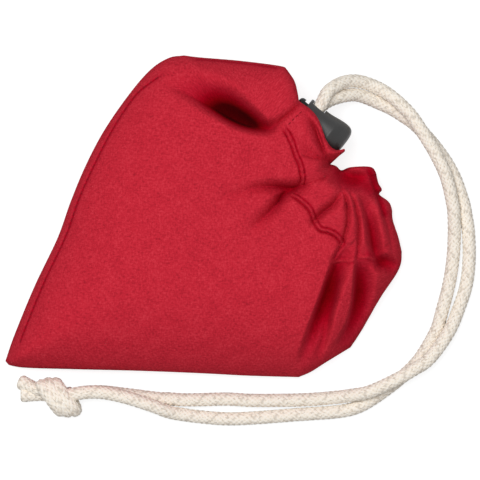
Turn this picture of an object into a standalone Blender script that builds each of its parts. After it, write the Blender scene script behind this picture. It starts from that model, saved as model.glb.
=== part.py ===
"""A foldable cotton bag, drawn shut in its own pouch, with its knotted cord and spring cord lock.

Lengths in this file are millimetres, and the meshes are made in metres. X is right, Y is away
from the viewer, Z is up. The pouch lies on the plane z = 0, with the middle of its box at x = y = 0.
"""

import math

import bmesh
import bpy
import numpy as np
from mathutils import Matrix, Vector

MM = 0.001

# The filled pouch: its two flat sizes, its height at the fullest place and its cloth.
POUCH_WIDTH = 158.4
POUCH_DEPTH = 128.4
POUCH_HEIGHT = 32.0
CLOTH_WALL = 1.6
FLOOR_WALL = 1.2
SEAM_THICKNESS = 1.0
HEM_COVER = 1.3
# The outline, folds and seams below are laid out for this width and depth, and stretch with them.
LAYOUT_WIDTH = 158.4
LAYOUT_DEPTH = 128.4
MOUTH_WIDTH = 1.2

# The folded bag inside, and the room it has.
FILL_CLEARANCE = 0.7
FILL_REST = 0.3

# The cord and the room it has in a hole.
CORD_DIAMETER = 5.0
CORD_GAP = 0.3
CORD_SIDES_LEVEL = 2
CORD_STEP = 8.0
CORD_BEND_STEP = 5.0
CORD_BEND_END = 42.0

# The cord lock. Its sizes run along its own axis from the middle of the cord hole.
LOCK_X = 42.5
LOCK_Y = 38.7
LOCK_Z = 16.5
LOCK_TURN = -38.8
BARREL_HALF_WIDTH = 7.6
BARREL_HALF_HEIGHT = 9.0
BARREL_REACH = 17.0
BARREL_WAIST = 0.885
BARREL_RIM_WALL = 1.3
BARREL_END_WALL = 1.8
BORE_WALL = 1.4
PLUNGER_CLEARANCE = 0.3
PLUNGER_TRAVEL = 3.4
PLUNGER_HEAD = 2.0
PLUNGER_TAIL = 2.1
POCKET_CLEARANCE = 0.5
TUNNEL_DEPTH = 7.0
SPRING_WIRE = 0.7
SPRING_TURNS = 4
SECTION_POWER = 2.4

# The knot at the cord's end, with the two tails past it.
KNOT_X = -57.0
KNOT_Y = -72.2
KNOT_HALF = (8.0, 7.8, 5.6)
KNOT_POWER = 2.5
KNOT_LOBE = 0.05
TAIL_ENDS = ((-73.6, -65.9), (-73.0, -71.2))

MIDDLE = (7.4, -4.6)
HOLE_HALF = CORD_DIAMETER / 2 + 0.4
STACK_HALF = CORD_DIAMETER / 2 + CORD_GAP / 2
SLOT_HALF_HEIGHT = STACK_HALF + CORD_DIAMETER / 2 + CORD_GAP

# Each side of the outline: points, edge heights, reach of the rise to full height, column spacing.
SIDES = (
    (((-79.2, -57.8), (-75.4, -47.0), (-67.4, -27.8), (-58.2, -8.6), (-53.0, 5.8), (-47.0, 20.2),
      (-39.4, 34.6), (-29.4, 49.0), (-21.0, 58.6), (-13.8, 63.2), (-7.8, 64.2)),
     (1.6, 5, 8, 9, 9, 10), (44, 44), 8.0),
    (((-7.8, 64.2), (-1.4, 63.4), (14.6, 62.0), (30.6, 59.8), (33.4, 58.2)),
     (10, 11, 14, 20), (30, 26, 16), 5.0),
    (((33.4, 58.2), (36.2, 53.8), (37.4, 49.4), (38.0, 45.8)), (20, 24, 26), (12, 7), 3.2),
    (((38.0, 45.8), (39.4, 44.7), (42.6, 42.4), (45.4, 39.0), (47.2, 34.6), (48.6, 30.6), (50.6, 27.6),
      (53.0, 26.2), (56.0, 26.8)), (26.5, 27.2, 27.4, 27.2, 25), (5, 5), 2.2),
    (((56.0, 26.8), (56.2, 25.8), (53.8, 23.8), (50.6, 20.8)), (25, 21, 18), (7, 7), 1.8),
    (((50.6, 20.8), (53.0, 20.0), (55.0, 18.4), (58.6, 19.6), (66.2, 19.8), (68.6, 17.8), (69.8, 13.4),
      (71.2, 10.6), (70.2, 8.8), (73.8, 6.0), (75.2, 3.0), (75.6, -1.4), (77.8, -8.2), (79.2, -14.2)),
     (18, 15, 12, 8, 6, 6), (12, 24, 30), 2.2),
    (((79.2, -14.2), (78.8, -19.0), (76.8, -23.4), (70.6, -32.6), (63.3, -45.4), (58.8, -52.3)),
     (6, 5, 4), (32, 32), 2.1),
    (((58.8, -52.3), (49.4, -58.0), (42.9, -62.1), (38.0, -64.2)), (4, 3), (30, 30), 2.1),
    (((38.0, -64.2), (17.8, -63.6), (-1.4, -62.6), (-27.0, -61.6), (-52.6, -61.0), (-71.8, -60.4),
      (-79.2, -59.0)),
     (3, 5, 5, 1.6), (40, 40), 8.0),
)


def roll(share):
    """A convex quarter round: 1 at the fold's line, falling away steeply at first."""
    rest = 1 - np.clip(share, 0, 1)
    return 1 - np.sqrt(np.maximum(1 - rest**2, 0))


def hang(share):
    """A slack concave slope down to the fold's line."""
    return (1 - np.clip(share, 0, 1)) ** 2


def cliff(share):
    """A rounded floor that climbs to a sharp shoulder."""
    return 1 - np.clip(share, 0, 1) ** 1.6


# Each fold pressed into the upper side: route, depths along it, reach to the left and right of it,
# and the shape of those two banks.
FOLDS = (
    (((-16.2, 53.0), (-7.4, 49.0), (2.6, 43.4), (12.6, 39.0), (20.6, 35.6), (25.8, 34.4), (28.2, 35.4),
      (32.2, 38.8), (35.8, 41.8), (39.4, 45.0)), (0, 3, 8, 13, 15, 14, 9, 4, 2.6, 2), 15, 5.0, hang, roll),
    (((-8.6, 60.2), (-6.2, 57.0), (-1.4, 53.0), (4.6, 49.4), (11.4, 45.4)),
     (0, 1.5, 2.2, 1.5, 0), 7, 8, hang, hang),
    (((29.4, 35.0), (32.2, 34.0), (34.6, 31.0), (36.0, 26.8), (37.7, 22.5), (39.0, 18.6), (39.2, 14.2),
      (37.8, 11.8)),
     (0, 1.0, 1.2, 1.2, 1.2, 1.6, 2.6, 4), 2.2, 2.2, roll, hang),
    (((39.4, 12.4), (35.4, 11.2), (30.6, 11.6), (25.0, 11.8), (18.6, 10.6), (11.4, 8.6), (3.4, 5.8)),
     (4, 6, 4.4, 2.6, 1.8, 1, 0), 7, 6, hang, hang),
    (((36.2, 11.0), (32.2, 9.0), (29.0, 4.6), (25.4, 0.6), (21.4, -3.0), (17.0, -7.8)),
     (5, 6, 4, 2.6, 1.4, 0), 6, 6, hang, hang),
    (((33.8, 9.4), (37.4, 6.6), (40.2, 4.2), (42.2, 1.4), (43.8, -2.2), (46.2, -5.6), (49.8, -6.8),
      (53.0, -8.8), (54.4, -11.4)), (3, 1.8, 1.3, 1.2, 1.2, 1.2, 1.2, 1.4), 1.8, 2.0, roll, hang),
    (((39.0, 11.8), (42.2, 13.0), (45.8, 14.0), (49.0, 15.4), (51.4, 18.2)),
     (3.4, 2.4, 2.2, 2.4, 2.4), 4, 2.6, hang, roll),
    (((38.6, 25.0), (41.0, 23.6), (44.6, 22.8), (48.6, 22.2), (51.0, 20.6)),
     (1, 2.6, 3.2, 2.8, 2), 6, 2.0, hang, roll),
    (((39.8, 41.8), (43.0, 37.8), (45.4, 33.4), (47.0, 29.0), (48.2, 25.0), (49.0, 22.6)),
     (0, 1.2, 2.8, 3.6, 3.0, 2), 3, 6, roll, hang),
    (((36.6, 30.6), (39.0, 27.8), (42.2, 25.4), (45.8, 23.8)), (0, 1.4, 2.4, 1.6), 5, 4, hang, hang),
    (((43.8, -2.2), (47.4, 1.4), (51.4, 4.6), (54.2, 8.6), (55.4, 13.0)),
     (1.8, 2.2, 1.8, 1.0, 0), 5, 5, hang, hang),
    (((53.0, 15.4), (55.0, 10.6), (56.8, 5.0), (57.2, -1.0), (56.2, -6.2), (54.6, -11.4), (51.8, -16.6)),
     (1, 1.6, 2, 2, 2.4, 3.2, 4), 3.0, 2.6, hang, roll),
    (((56.2, 13.0), (59.0, 7.8), (60.8, 1.8), (61.6, -3.8), (61.4, -10.6), (60.8, -16.6)),
     (1, 1.6, 2.2, 2.8, 3.2, 3.6), 3, 2.6, hang, roll),
    (((58.2, 13.4), (61.8, 8.2), (64.6, 1.8), (66.4, -5.4), (67.8, -13.4), (69.4, -18.2)),
     (0, 1.2, 2.2, 3.2, 3.6, 3), 5.5, 3.4, hang, hang),
    (((65.0, 19.4), (66.8, 15.4), (68.6, 10.6), (70.6, 5.4), (72.2, 0.2), (74.2, -6.6), (75.2, -13.4)),
     (2, 4, 3, 3.4, 3, 2, 1.2), 3.2, 1.2, hang, cliff),
    (((67.4, -17.8), (71.8, -18.0), (75.4, -19.4), (77.8, -20.2)), (2, 4, 3.4, 1.4), 3.6, 4.2, hang, hang),
    (((70.6, -13.8), (73.0, -12.0), (75.0, -13.0)), (0.4, 1.6, 0.4), 2.2, 2.2, hang, hang),
    (((57.4, -12.6), (55.0, -15.8), (52.6, -20.2), (50.8, -25.0), (48.8, -31.0), (46.6, -37.0), (44.2, -43.4),
      (42.2, -49.0), (40.4, -54.2), (38.6, -60.6)),
     (2, 5, 7.5, 9, 9, 8, 6.4, 4.6, 2.6, 0), 11, 5.2, hang, cliff),
    (((52.6, -18.2), (52.4, -25.4), (51.6, -31.0), (50.0, -37.4), (48.6, -43.8), (47.0, -50.6),
      (43.4, -59.4)),
     (3, 7.5, 8.5, 7.6, 6, 3.6, 0), 2.8, 3.6, roll, hang),
    (((61.8, -17.0), (61.8, -22.6), (61.4, -29.4), (60.6, -35.4), (59.0, -41.4), (56.4, -47.0),
      (52.2, -54.2)),
     (3, 6.5, 8, 8, 6.6, 4.4, 0), 10, 3.8, hang, cliff),
)

# Each raised seam: route, and whether it has two rows or one.
SEAMS = (
    (((31.8, 34.8), (33.8, 32.4), (35.3, 29.2), (36.2, 26.6), (37.0, 23.8), (38.4, 21.0), (39.2, 18.2),
      (39.6, 14.2), (38.6, 11.8)), 2),
    (((34.6, 9.2), (37.2, 7.4), (40.2, 5.2), (42.5, 2.6), (44.2, -1.4), (46.4, -4.8), (49.8, -5.8),
      (53.3, -7.8), (55.0, -10.5), (53.8, -12.2)), 2),
    (((51.0, -18.0), (55.0, -17.8), (60.1, -17.6)), 1),
    (((61.4, -16.4), (65.4, -16.4), (68.6, -17.0)), 1),
)
SEAM_RISE = 0.5
SEAM_ROW = 0.55
SEAM_SPREAD = 0.45

# The slit of the drawn mouth, behind the near layer of the ruffle.
MOUTH = ((70.2, 6.6), (71.6, 2.4), (73.0, -2.6), (74.2, -7.4))
MOUTH_REACH = 9.0

# The cord's two strands, as rows along the pair: x and y of its middle, the lower strand's height,
# half the spread, and the roll of the upper strand over the lower one, which twists on towards the knot.
CORD_ROUTE = (
    (34.3, 28.6, 13.85, 2.65, 90), (42.5, 38.7, 13.85, 2.65, 90), (46.9, 44.2, 13.7, 2.7, 86),
    (51.1, 48.5, 11.6, 2.85, 50), (57.0, 51.0, 8.2, 2.85, 20), (62.3, 51.1, 5.4, 2.75, 4),
    (68.4, 49.0, 2.9, 2.7, 8), (75.1, 45.3, 2.6, 2.7, 42), (81.4, 40.4, 2.6, 2.7, 66),
    (86.2, 35.3, 2.6, 2.72, 88), (93.2, 25.8, 2.6, 2.72, 108), (98.4, 16.2, 2.6, 2.72, 124),
    (101.6, 5.6, 2.6, 2.72, 142), (102.5, 0.0, 2.6, 2.7, 154), (103.1, -7.8, 2.6, 2.9, 176),
    (102.9, -17.4, 2.6, 3.25, 180), (101.6, -27.0, 2.6, 3.4, 180), (98.8, -36.7, 2.6, 3.05, 180),
    (95.3, -46.1, 2.6, 2.7, 212), (89.0, -55.8, 2.6, 2.72, 236), (83.8, -60.6, 2.6, 2.72, 260),
    (76.6, -65.8, 2.6, 2.72, 280), (66.8, -71.5, 2.6, 2.75, 306), (59.0, -74.2, 2.6, 2.9, 340),
    (50.6, -75.4, 2.6, 2.9, 358), (38.6, -76.2, 2.6, 2.9, 360), (20.2, -77.0, 2.6, 3.5, 360),
    (9.0, -76.9, 2.6, 3.95, 360), (-2.2, -76.6, 2.6, 3.35, 360), (-10.0, -76.0, 2.6, 2.85, 368),
    (-14.4, -75.3, 2.6, 2.8, 388), (-19.0, -74.3, 2.6, 2.7, 412), (-30.2, -71.8, 2.6, 2.72, 438),
    (-40.0, -70.2, 2.6, 2.72, 448), (-46.6, -70.2, 2.6, 2.72, 450),
)

# The folds are read as means over this radius, so that the faces don't jump across a narrow one.
MESH_SOFTNESS = 1.0
TOP_RINGS = (0.012, 0.03, 0.055) + tuple(np.linspace(0.08, 0.52, 19)) + (0.57, 0.64, 0.72, 0.82, 0.92)
UNDER_RINGS = (0.02, 0.05, 0.09, 0.14)
CAVITY_RINGS = (1.0, 0.92, 0.82, 0.70, 0.56, 0.40, 0.22)


def place(points):
    """Layout points, stretched to the pouch's own width and depth."""
    stretch = np.array([POUCH_WIDTH / LAYOUT_WIDTH, POUCH_DEPTH / LAYOUT_DEPTH])
    return np.asarray(points, float) * stretch


def curve_through(points, count):
    """A smooth curve through points of any dimension, read at evenly spaced parameters."""
    knots = np.asarray(points, float)
    last = len(knots) - 1
    at = np.linspace(0, last, count)
    first = np.minimum(at.astype(int), last - 1)
    part = (at - first)[:, None]
    padded = np.vstack([2 * knots[0] - knots[1], knots, 2 * knots[-1] - knots[-2]])
    a, b, c, d = (padded[first + step] for step in range(4))
    cubic = (3 * b - a - 3 * c + d) * part**3
    return 0.5 * (2 * b + (c - a) * part + (2 * a - 5 * b + 4 * c - d) * part**2 + cubic)


def values_along(share, values):
    """The values spread smoothly over 0 to 1, read at share."""
    line = curve_through(np.asarray(values, float)[:, None], 65)[:, 0]
    return np.interp(share, np.linspace(0, 1, len(line)), line)


def spaced(line, step):
    """Points every step along a line, without its end, and their shares of its length."""
    run = np.concatenate([[0], np.cumsum(np.linalg.norm(np.diff(line, axis=0), axis=1))])
    count = max(2, round(run[-1] / step))
    at = np.linspace(0, run[-1], count + 1)[:-1]
    return np.stack([np.interp(at, run, axis) for axis in line.T], axis=1), at / run[-1]


def border(step=None):
    """The outline as points with their edge height and rise, at one step or at each side's own."""
    parts = []
    for points, heights, rises, own_step in SIDES:
        line, share = spaced(curve_through(place(points), 300), step or own_step)
        parts.append(np.column_stack([line, values_along(share, heights), values_along(share, rises)]))
    return np.vstack(parts)


BORDER = border(0.6)
BORDER_STEP = np.linalg.norm(np.roll(BORDER[:, :2], -1, axis=0) - BORDER[:, :2], axis=1)


def line_distance(points, line):
    """Distance to a line, positive on the left of its travel, and the share of its length there."""
    best = np.full(len(points), 1e9)
    side = np.ones(len(points))
    share = np.zeros(len(points))
    legs = np.diff(line, axis=0)
    run = np.concatenate([[0], np.cumsum(np.linalg.norm(legs, axis=1))])
    for index, leg in enumerate(legs):
        rel = points - line[index]
        t = np.clip(rel @ leg / (leg @ leg), 0, 1)
        away = ((rel - t[:, None] * leg) ** 2).sum(axis=1)
        nearer = away < best
        best[nearer] = away[nearer]
        cross = leg[0] * rel[:, 1] - leg[1] * rel[:, 0]
        side[nearer] = np.where(cross[nearer] < 0, -1, 1)
        share[nearer] = (run[index] + t[nearer] * (run[index + 1] - run[index])) / run[-1]
    return np.sqrt(best) * side, share


def close_to(points, line, reach):
    """Which points lie in the line's own box, grown by reach."""
    return ((points > line.min(axis=0) - reach) & (points < line.max(axis=0) + reach)).all(axis=1)


def pillow(points):
    """Height of the filled pouch without its folds: edge height at the outline, full height inside."""
    return np.concatenate([pillow_share(part) for part in np.array_split(points, len(points) // 4000 + 1)])


def pillow_share(points):
    gap = points[:, None, :] - BORDER[None, :, :2]
    square = (gap**2).sum(axis=2) + 1e-6
    weight = BORDER_STEP / square**2
    share = (0.75 * (weight / np.sqrt(square) * BORDER[:, 3] ** 4).sum(axis=1)) ** -0.25
    share = np.clip(share * np.clip(np.sqrt(square.min(axis=1)) / 0.8, 0, 1), 0, 1)
    edge = (weight * BORDER[:, 2]).sum(axis=1) / weight.sum(axis=1)
    return edge + (POUCH_HEIGHT - edge) * (1 - (1 - share) ** 2) ** 0.72


def lock_plan(points):
    """Plan positions as distances along and across the lock's axis."""
    turn = math.radians(LOCK_TURN)
    rel = points - place((LOCK_X, LOCK_Y))
    return rel @ (math.cos(turn), math.sin(turn)), rel @ (-math.sin(turn), math.cos(turn))


def barrel_scale(along):
    """The lock's section along its axis, as a share of its largest: a waist and a flared closed end."""
    start = -(HOLE_HALF + BARREL_RIM_WALL)
    flare = (BARREL_REACH - 1.6, BARREL_REACH - 0.5, BARREL_REACH)
    stations = np.array([start, start + 0.8, 0.0, 5.0, 9.0, 13.0, *flare])
    waist = (BARREL_WAIST - 0.025, BARREL_WAIST + 0.015, BARREL_WAIST, BARREL_WAIST)
    return np.interp(along, stations, (*waist, 0.94, 0.99, 1.0, 0.95, 0.84))


def lock_cover(points):
    """The lowest height that the cloth may have over the lock."""
    along, across = lock_plan(points)
    size = barrel_scale(along)
    share = np.clip(np.abs(across) / (BARREL_HALF_WIDTH * size + POCKET_CLEARANCE), 0, 1)
    height = BARREL_HALF_HEIGHT * size + POCKET_CLEARANCE
    height = height * (1 - share**SECTION_POWER) ** (1 / SECTION_POWER)
    over = (share < 1) & (along > -plunger_length_out() - 1) & (along < BARREL_REACH + 1)
    return np.where(over, LOCK_Z + height + HEM_COVER, 0)


def plunger_length_out():
    """How far the plunger's head lies from the middle of the cord hole."""
    return HOLE_HALF + PLUNGER_TRAVEL + PLUNGER_HEAD


def upper_side(points):
    """Height of the pouch's upper side: the pillow with its folds, seams and the cover of the lock."""
    height = pillow(points)
    pressed = np.zeros(len(points))
    for route, depths, left, right, left_bank, right_bank in FOLDS:
        line = curve_through(place(route), 48)
        near = close_to(points, line, max(left, right))
        away, share = line_distance(points[near], line)
        bank = np.where(away >= 0, left_bank(away / left), right_bank(-away / right))
        pressed[near] += (np.maximum(values_along(share, depths), 0) * bank) ** 2.5
    height = height - pressed**0.4
    for route, rows in SEAMS:
        line = curve_through(place(route), 48)
        near = close_to(points, line, 4 * SEAM_SPREAD)
        away, share = line_distance(points[near], line)
        fade = np.clip(share / 0.06, 0, 1) * np.clip((1 - share) / 0.06, 0, 1)
        for row in np.linspace(-SEAM_ROW, SEAM_ROW, rows) if rows > 1 else (0.0,):
            height[near] += fade * SEAM_RISE * np.exp(-(((away - row) / SEAM_SPREAD) ** 2))
    return np.maximum(height, lock_cover(points))


def under_side(edge, distance):
    """Height of the underside at a distance in from the outline: it drops from the edge to the floor."""
    reach = 3 + 0.16 * edge
    return edge * np.clip(1 - distance / reach, 0, 1) ** 1.5


def metal_or_plastic(name, colour, roughness, metallic=0.0):
    """A material with one Principled shader."""
    material = bpy.data.materials.new(name)
    material.use_nodes = True
    shader = material.node_tree.nodes["Principled BSDF"]
    shader.inputs["Base Color"].default_value = (*colour, 1.0)
    shader.inputs["Roughness"].default_value = roughness
    shader.inputs["Metallic"].default_value = metallic
    material.diffuse_color = (*colour, 1.0)
    return material


def add_object(name, data, material=None, helper=False):
    """Links data to the scene as an object. A helper is a cutter that isn't rendered."""
    obj = bpy.data.objects.new(name, data)
    bpy.context.scene.collection.objects.link(obj)
    if material:
        data.materials.append(material)
    if helper:
        obj.hide_render = True
        obj.display_type = "WIRE"
    return obj


def stack_mesh(name, rings, first=None, last=None, split=False):
    """A closed mesh through a stack of rings with equal counts, its ends closed by a point or a face.

    Split cuts every four-sided face the same way, so that two meshes on one plan keep their gap.
    """
    count = len(rings[0])
    mesh = bpy.data.meshes.new(name)
    bm = bmesh.new()
    loops = [[bm.verts.new(Vector(point) * MM) for point in ring] for ring in rings]
    for lower, upper in zip(loops, loops[1:]):
        for index in range(count):
            after = (index + 1) % count
            if split:
                bm.faces.new((lower[index], lower[after], upper[after]))
                bm.faces.new((lower[index], upper[after], upper[index]))
            else:
                bm.faces.new((lower[index], lower[after], upper[after], upper[index]))
    for loop, tip in ((loops[0], first), (loops[-1], last)):
        if tip is None:
            bm.faces.new(loop)
            continue
        middle = bm.verts.new(Vector(tip) * MM)
        for index in range(count):
            bm.faces.new((loop[index], loop[(index + 1) % count], middle))
    bmesh.ops.recalc_face_normals(bm, faces=bm.faces)
    for face in bm.faces:
        face.smooth = True
    bm.to_mesh(mesh)
    bm.free()
    return mesh


def cut(obj, cutter, operation="DIFFERENCE"):
    """Gives obj a live exact Boolean with a hidden helper."""
    modifier = obj.modifiers.new(cutter.name, "BOOLEAN")
    modifier.operation = operation
    modifier.solver = "EXACT"
    modifier.object = cutter


def with_height(plan, height):
    return np.column_stack([plan, np.broadcast_to(height, len(plan))])


def pouch_columns():
    """The outline points that the pouch's mesh runs through, with their edge heights."""
    columns = border()
    plan = columns[:, :2]
    return plan, np.maximum(upper_side(plan), SEAM_THICKNESS)


def pouch_mesh():
    """The pouch's outer skin: rings from under its middle, out to the edge and back over the top."""
    middle = place(MIDDLE)
    plan, edge = pouch_columns()
    radius = np.linalg.norm(plan - middle, axis=1)
    rings = []
    for share in reversed(UNDER_RINGS):
        rings.append(with_height(plan + (middle - plan) * share, under_side(edge, share * radius)))
    rings.append(with_height(plan, edge))
    spots = [plan + (middle - plan) * share for share in TOP_RINGS]
    heights = around(np.vstack(spots), MESH_SOFTNESS, 6).mean(axis=0).reshape(len(TOP_RINGS), -1)
    for share, spot, height in zip(TOP_RINGS, spots, heights):
        floor = under_side(edge, share * radius) + SEAM_THICKNESS
        rings.append(with_height(spot, np.maximum(height, floor)))
    top = upper_side(middle[None, :])[0]
    return stack_mesh("pouch", rings, None, (*middle, top))


def around(points, reach, count):
    """The upper side's heights at each point and at some places round it, one row for each place."""
    turns = np.linspace(0, 2 * math.pi, count, endpoint=False)
    steps = np.vstack([(0.0, 0.0), np.column_stack([np.cos(turns), np.sin(turns)]) * reach])
    spots = (points[None, :, :] + steps[:, None, :]).reshape(-1, 2)
    return upper_side(spots).reshape(len(steps), -1)


def lowest_around(points, reach=3.0):
    """The lowest upper side within reach of each point."""
    return around(points, reach, 8).min(axis=0)


def clear_of_lock(points):
    """Whether plan points lie outside the lock's pocket and the cord's tunnel, with a wall to spare."""
    along, across = lock_plan(points)
    wall = CLOTH_WALL + POCKET_CLEARANCE + 0.6
    pocket = (along > -plunger_length_out() - wall) & (along < BARREL_REACH + wall)
    pocket &= np.abs(across) < BARREL_HALF_WIDTH + wall
    tunnel = (np.abs(along) < HOLE_HALF + wall) & (across < 0)
    tunnel &= across > -BARREL_HALF_WIDTH - TUNNEL_DEPTH - wall
    return ~(pocket | tunnel)


def cavity_columns():
    """How far out the hollow reaches on each second column, as shares from the middle to the outline."""
    middle = place(MIDDLE)
    plan, edge = pouch_columns()
    plan, edge = plan[::2], edge[::2]
    radius = np.linalg.norm(plan - middle, axis=1)
    reach = np.full(len(plan), 0.2)
    growing = np.ones(len(plan), bool)
    shares = np.linspace(0.22, 0.985, 60)
    spots = [middle + (plan - middle) * share for share in shares]
    roofs = lowest_around(np.vstack(spots)).reshape(len(shares), -1) - CLOTH_WALL
    for share, spot, roof in zip(shares, spots, roofs):
        distance = (1 - share) * radius
        room = roof - under_side(edge, distance) - FLOOR_WALL
        growing &= (room > 2.4) & (distance > 2 * CLOTH_WALL) & clear_of_lock(spot)
        reach[growing] = share
    for _ in range(2):
        reach = np.minimum(reach, (np.roll(reach, 1) + reach + np.roll(reach, -1)) / 3)
    return middle, plan, edge, radius, reach


def cavity_rings(columns, top_gap, floor_gap, rings):
    """Floor and roof rings of the hollow, or of what fills it when the gaps are larger."""
    middle, plan, edge, radius, reach = columns
    floors, roofs = [], []
    for share in rings:
        spot = middle + (plan - middle) * (reach * share)[:, None]
        floor = under_side(edge, (1 - reach * share) * radius) + FLOOR_WALL
        roof = np.maximum(lowest_around(spot) - CLOTH_WALL, floor + 1.6)
        floors.append(with_height(spot, floor + floor_gap))
        roofs.append(with_height(spot, roof - top_gap))
    centre_roof = lowest_around(middle[None, :])[0] - CLOTH_WALL - top_gap
    return floors, roofs, (*middle, FLOOR_WALL + floor_gap), (*middle, centre_roof)


def hollow_mesh(name, columns, top_gap, floor_gap, rings):
    floors, roofs, low, high = cavity_rings(columns, top_gap, floor_gap, rings)
    return stack_mesh(name, floors[::-1] + roofs, low, high, split=True)


def mouth_mesh():
    """A thin slanting strip that opens the hollow behind the near layer of the ruffle."""
    line = curve_through(place(MOUTH), 7)
    inward = place(MIDDLE) - line
    inward = inward / np.linalg.norm(inward, axis=1)[:, None]
    edge = upper_side(line)
    low = line + inward * MOUTH_REACH
    rings = []
    for index in range(len(line)):
        outer = np.array([*(line[index] - inward[index] * 1.0), edge[index] + 2.0])
        inner = np.array([*low[index], FLOOR_WALL + 3.0])
        lift = np.array([0.0, 0.0, MOUTH_WIDTH])
        rings.append([outer, inner, inner + lift, outer + lift])
    return stack_mesh("mouth_cutter", rings)


def section(half_width, half_height, count=24):
    """A rounded oval, wide across the lock and high along Z."""
    turn = np.linspace(0, 2 * math.pi, count, endpoint=False)
    power = 2 / SECTION_POWER
    across = np.sign(np.cos(turn)) * np.abs(np.cos(turn)) ** power * half_width
    height = np.sign(np.sin(turn)) * np.abs(np.sin(turn)) ** power * half_height
    return np.column_stack([across, height])


def lock_rings(stations, half_width, half_height):
    """Rings of the lock's oval at stations of (distance along the axis, scale)."""
    rings = []
    for along, size in stations:
        oval = section(half_width * size, half_height * size)
        rings.append(np.column_stack([np.full(len(oval), along), oval]))
    return rings


def barrel_stations():
    start = -(HOLE_HALF + BARREL_RIM_WALL)
    spots = (BARREL_REACH, BARREL_REACH - 0.5, BARREL_REACH - 1.6, 13.0, 9.0, 5.0, 0.0, start + 0.8, start)
    return [(spot, float(barrel_scale(spot))) for spot in spots]


def barrel_mesh():
    """The barrel: a flared oval cup with the plunger's bore."""
    rim = -(HOLE_HALF + BARREL_RIM_WALL)
    outer = lock_rings(barrel_stations(), BARREL_HALF_WIDTH, BARREL_HALF_HEIGHT)
    bore_width, bore_height = bore_half()
    inner = lock_rings(((rim, 1.0), (BARREL_REACH - BARREL_END_WALL, 1.0)), bore_width, bore_height)
    end, floor = (BARREL_REACH, 0, 0), (BARREL_REACH - BARREL_END_WALL, 0, 0)
    return stack_mesh("lock_barrel", outer + inner, end, floor)


def bore_half():
    """Half sizes of the barrel's bore, inside its waist."""
    return BARREL_HALF_WIDTH * BARREL_WAIST - BORE_WALL, BARREL_HALF_HEIGHT * BARREL_WAIST - BORE_WALL + 0.3


def plunger_mesh():
    """The plunger: a rounded head, two cheeks beside the cord window and a tail on the spring."""
    bore_width, bore_height = bore_half()
    half = (bore_width - PLUNGER_CLEARANCE, bore_height - PLUNGER_CLEARANCE)
    head = -plunger_length_out()
    tail = HOLE_HALF + PLUNGER_TAIL
    stations = ((head, 0.78), (head + 0.35, 0.93), (head + 1.0, 1.0), (tail - 0.5, 1.0), (tail, 0.92))
    return stack_mesh("lock_plunger", lock_rings(stations, *half), (head, 0, 0), (tail, 0, 0))


def window_cutter(name, start, end, half_height):
    """A bevelled block across the lock, which leaves the cord's window."""
    mesh = bpy.data.meshes.new(name)
    bm = bmesh.new()
    bmesh.ops.create_cube(bm, size=1.0)
    sides = Vector((end - start, 4 * BARREL_HALF_WIDTH, 2 * half_height)) * MM
    bmesh.ops.scale(bm, vec=sides, verts=bm.verts)
    bmesh.ops.translate(bm, vec=Vector(((start + end) / 2 * MM, 0, 0)), verts=bm.verts)
    along_hole = [edge for edge in bm.edges if abs((edge.verts[0].co - edge.verts[1].co).y) > 1e-6]
    bmesh.ops.bevel(bm, geom=along_hole, offset=1.4 * MM, segments=3, profile=0.5, affect="EDGES")
    bm.to_mesh(mesh)
    bm.free()
    return mesh


def spring_curve():
    """The lock's spring, a round wire coil between the plunger's tail and the barrel's floor."""
    start = HOLE_HALF + PLUNGER_TAIL + CORD_GAP + SPRING_WIRE / 2
    end = BARREL_REACH - BARREL_END_WALL - CORD_GAP - SPRING_WIRE / 2
    radius = bore_half()[0] - SPRING_WIRE / 2 - 4 * PLUNGER_CLEARANCE
    turn = np.linspace(0, 2 * math.pi * SPRING_TURNS, SPRING_TURNS * 12 + 1)
    along = np.linspace(start, end, len(turn))
    points = np.column_stack([along, np.cos(turn) * radius, np.sin(turn) * radius])
    return tube_curve("lock_spring", points, SPRING_WIRE, 1)


def tube_curve(name, points, diameter, sides_level):
    """A round tube along points, with filled ends."""
    curve = bpy.data.curves.new(name, "CURVE")
    curve.dimensions = "3D"
    curve.bevel_depth = diameter / 2 * MM
    curve.bevel_resolution = sides_level
    curve.use_fill_caps = True
    spline = curve.splines.new("POLY")
    spline.points.add(len(points) - 1)
    for spot, point in zip(spline.points, points):
        spot.co = (*(Vector(point) * MM), 1.0)
    return curve


def pair_line():
    """The pair's rows at the places where its tubes have points: close at the bend, wider after it."""
    line = curve_through(CORD_ROUTE, 1400)
    run = np.concatenate([[0], np.cumsum(np.linalg.norm(np.diff(line[:, :3], axis=0), axis=1))])
    bend = np.arange(0, CORD_BEND_END, CORD_BEND_STEP)
    rest = np.linspace(CORD_BEND_END, run[-1], round((run[-1] - CORD_BEND_END) / CORD_STEP) + 1)
    at = np.concatenate([bend, rest])
    return np.stack([np.interp(at, run, column) for column in line.T], axis=1)


def strand_route(side):
    """One strand's points: the pair's, moved by the half spread at the pair's roll."""
    pair = pair_line()
    ahead = np.gradient(pair[:, :2], axis=0)
    ahead /= np.linalg.norm(ahead, axis=1)[:, None]
    left = np.column_stack([-ahead[:, 1], ahead[:, 0]])
    tilt = np.radians(pair[:, 4])
    points = pair[:, :3].copy()
    points[:, 2] += pair[:, 3] * np.abs(np.sin(tilt))
    points[:, :2] += side * (pair[:, 3] * np.cos(tilt))[:, None] * left
    points[:, 2] += side * pair[:, 3] * np.sin(tilt)
    return points


def knot_face(y):
    """Where the knot's right side is fullest across a strand that ends at y."""
    across = max(0.0, abs(y - KNOT_Y) - CORD_DIAMETER / 2) / KNOT_HALF[1]
    return KNOT_X + KNOT_HALF[0] * (1 + KNOT_LOBE) * (1 - across**KNOT_POWER) ** (1 / KNOT_POWER)


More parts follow.
